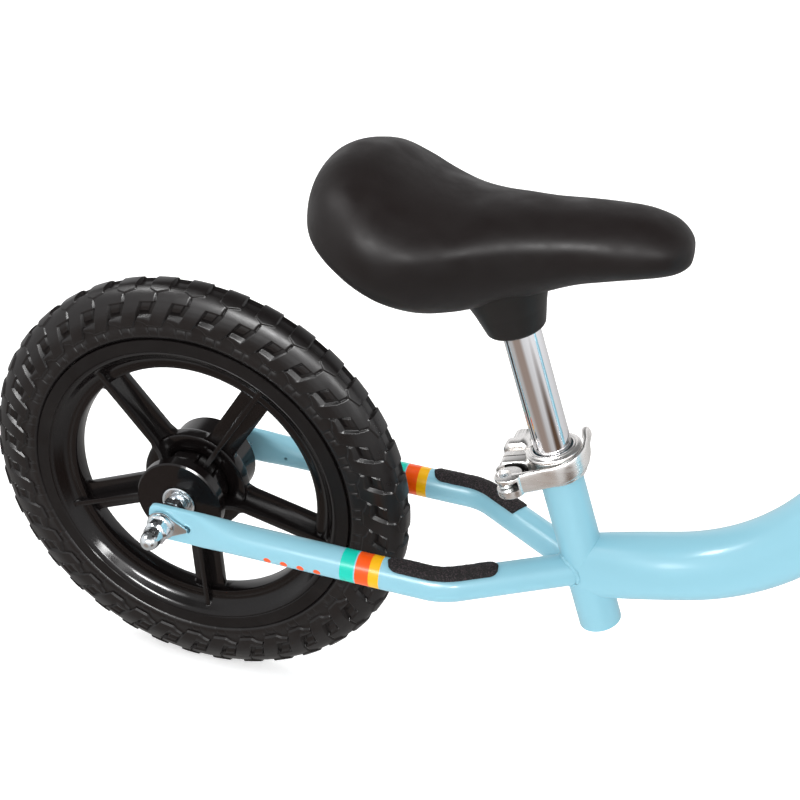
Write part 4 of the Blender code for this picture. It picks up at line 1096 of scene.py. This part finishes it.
def studio():
    floor = mesh_object([Vector((x, y, 0)) for x, y in ((-9, -9), (9, -9), (9, 9), (-9, 9))], [(0, 1, 2, 3)])
    floor.name = "floor"
    made = bpy.data.materials.new("pale_floor")
    made.use_nodes = True
    shader = made.node_tree.nodes["Principled BSDF"]
    for socket, value in (("Base Color", (0.9, 0.9, 0.9, 1)), ("Roughness", 0.9),
                          ("Specular IOR Level", 0.1), ("Emission Color", (1, 1, 1, 1)),
                          ("Emission Strength", 0.42)):
        shader.inputs[socket].default_value = value
    floor.data.materials.append(made)
    floor.visible_glossy = False

    world = bpy.data.worlds.new("studio")
    bpy.context.scene.world = world
    world.use_nodes = True
    graph = Graph(world.node_tree)
    background = world.node_tree.nodes["Background"]
    # Shiny surfaces see white side walls, a dark ceiling and back, and the room's brown end in two gaps
    facing = graph.add("ShaderNodeTexCoord").outputs["Generated"]
    split = graph.add("ShaderNodeSeparateXYZ")
    graph.put(split.inputs[0], facing)
    behind = graph.math("MULTIPLY", graph.spread(split.outputs[1], 0, 1, -0.2, 0.3),
                        graph.spread(split.outputs[2], 0, 1, 0.33, 0.5))
    mirror = graph.blend(behind, (0.95, 0.95, 0.96), (0.10, 0.10, 0.10))
    mirror = graph.blend(graph.spread(split.outputs[2], 0, 1, 0.6, 0.85), mirror, (0.12, 0.12, 0.12))
    mirror = graph.blend(graph.spread(split.outputs[2], 1, 0, -0.5, 0.0), mirror, (0.5, 0.49, 0.48))
    for aim, inner, outer, colour in (((-0.26, -0.86, -0.44), 0.86, 0.97, (0.34, 0.27, 0.23)),
                                      ((0.74, -0.5, -0.4), 0.93, 0.985, (0.12, 0.075, 0.05))):
        dot = graph.add("ShaderNodeVectorMath", operation="DOT_PRODUCT")
        graph.put(dot.inputs[0], facing)
        dot.inputs[1].default_value = Vector(aim).normalized()
        mirror = graph.blend(graph.spread(dot.outputs["Value"], 0, 1, inner, outer), mirror, colour)
    rays = graph.add("ShaderNodeLightPath")
    seen = graph.blend(rays.outputs["Is Camera Ray"], (0.7, 0.7, 0.7), (1, 1, 1))
    graph.put(background.inputs["Color"], graph.blend(rays.outputs["Is Glossy Ray"], seen, mirror))

    for name, spot, aim, size, power in LAMPS:
        data = bpy.data.lights.new(name, "AREA")
        data.shape, data.size, data.size_y, data.energy = "RECTANGLE", *size, power
        lamp = bpy.data.objects.new(name, data)
        bpy.context.scene.collection.objects.link(lamp)
        lamp.location = Vector(spot)
        lamp.visible_diffuse = not name.startswith("strip")
        lamp.visible_glossy = name != "above"
        lamp.rotation_euler = (Vector(aim) - Vector(spot)).to_track_quat("-Z", "Y").to_euler()


CAMERA_AZIMUTH, CAMERA_ELEVATION = radians(18.32), radians(25.69)
CAMERA_LENS, CAMERA_SHIFT, CAMERA_PLACE = 66.42, (0.0127, -0.2177), (362.46, -703.26, 555.0)


def camera():
    azimuth, elevation = CAMERA_AZIMUTH, CAMERA_ELEVATION
    back = Vector((sin(azimuth) * cos(elevation), -cos(azimuth) * cos(elevation), sin(elevation)))
    right = Vector((cos(azimuth), sin(azimuth), 0))
    up = back.cross(right)
    data = bpy.data.cameras.new("camera")
    data.lens, data.sensor_width = CAMERA_LENS, 36.0
    data.shift_x, data.shift_y = CAMERA_SHIFT
    data.clip_start = 0.05
    made = bpy.data.objects.new("camera", data)
    bpy.context.scene.collection.objects.link(made)
    made.matrix_world = Matrix((
        (right.x, up.x, back.x, 0), (right.y, up.y, back.y, 0), (right.z, up.z, back.z, 0), (0, 0, 0, 1)))
    made.location = REAR.at(*CAMERA_PLACE)
    bpy.context.scene.camera = made


frame_tubes()
seat_clamp()
seat()
fork()
handlebar()
rear_ahead = (stay_corners(1)[1] - stay_corners(1)[0])
wheel("rear", REAR, Vector((rear_ahead.x, 0, rear_ahead.z)).normalized(), "frame")
front_ahead = HEAD.at(up=152) - FRONT.origin
wheel("front", FRONT, Vector((front_ahead.x, 0, front_ahead.z)).normalized(), "fork")
for axle in ("rear_axle", "front_axle"):
    frame["nodes"][axle].data.materials.clear()
    frame["nodes"][axle].data.materials.append(MATERIALS["zinc"])
studio()
camera()
bpy.context.scene.view_settings.view_transform = "Standard"
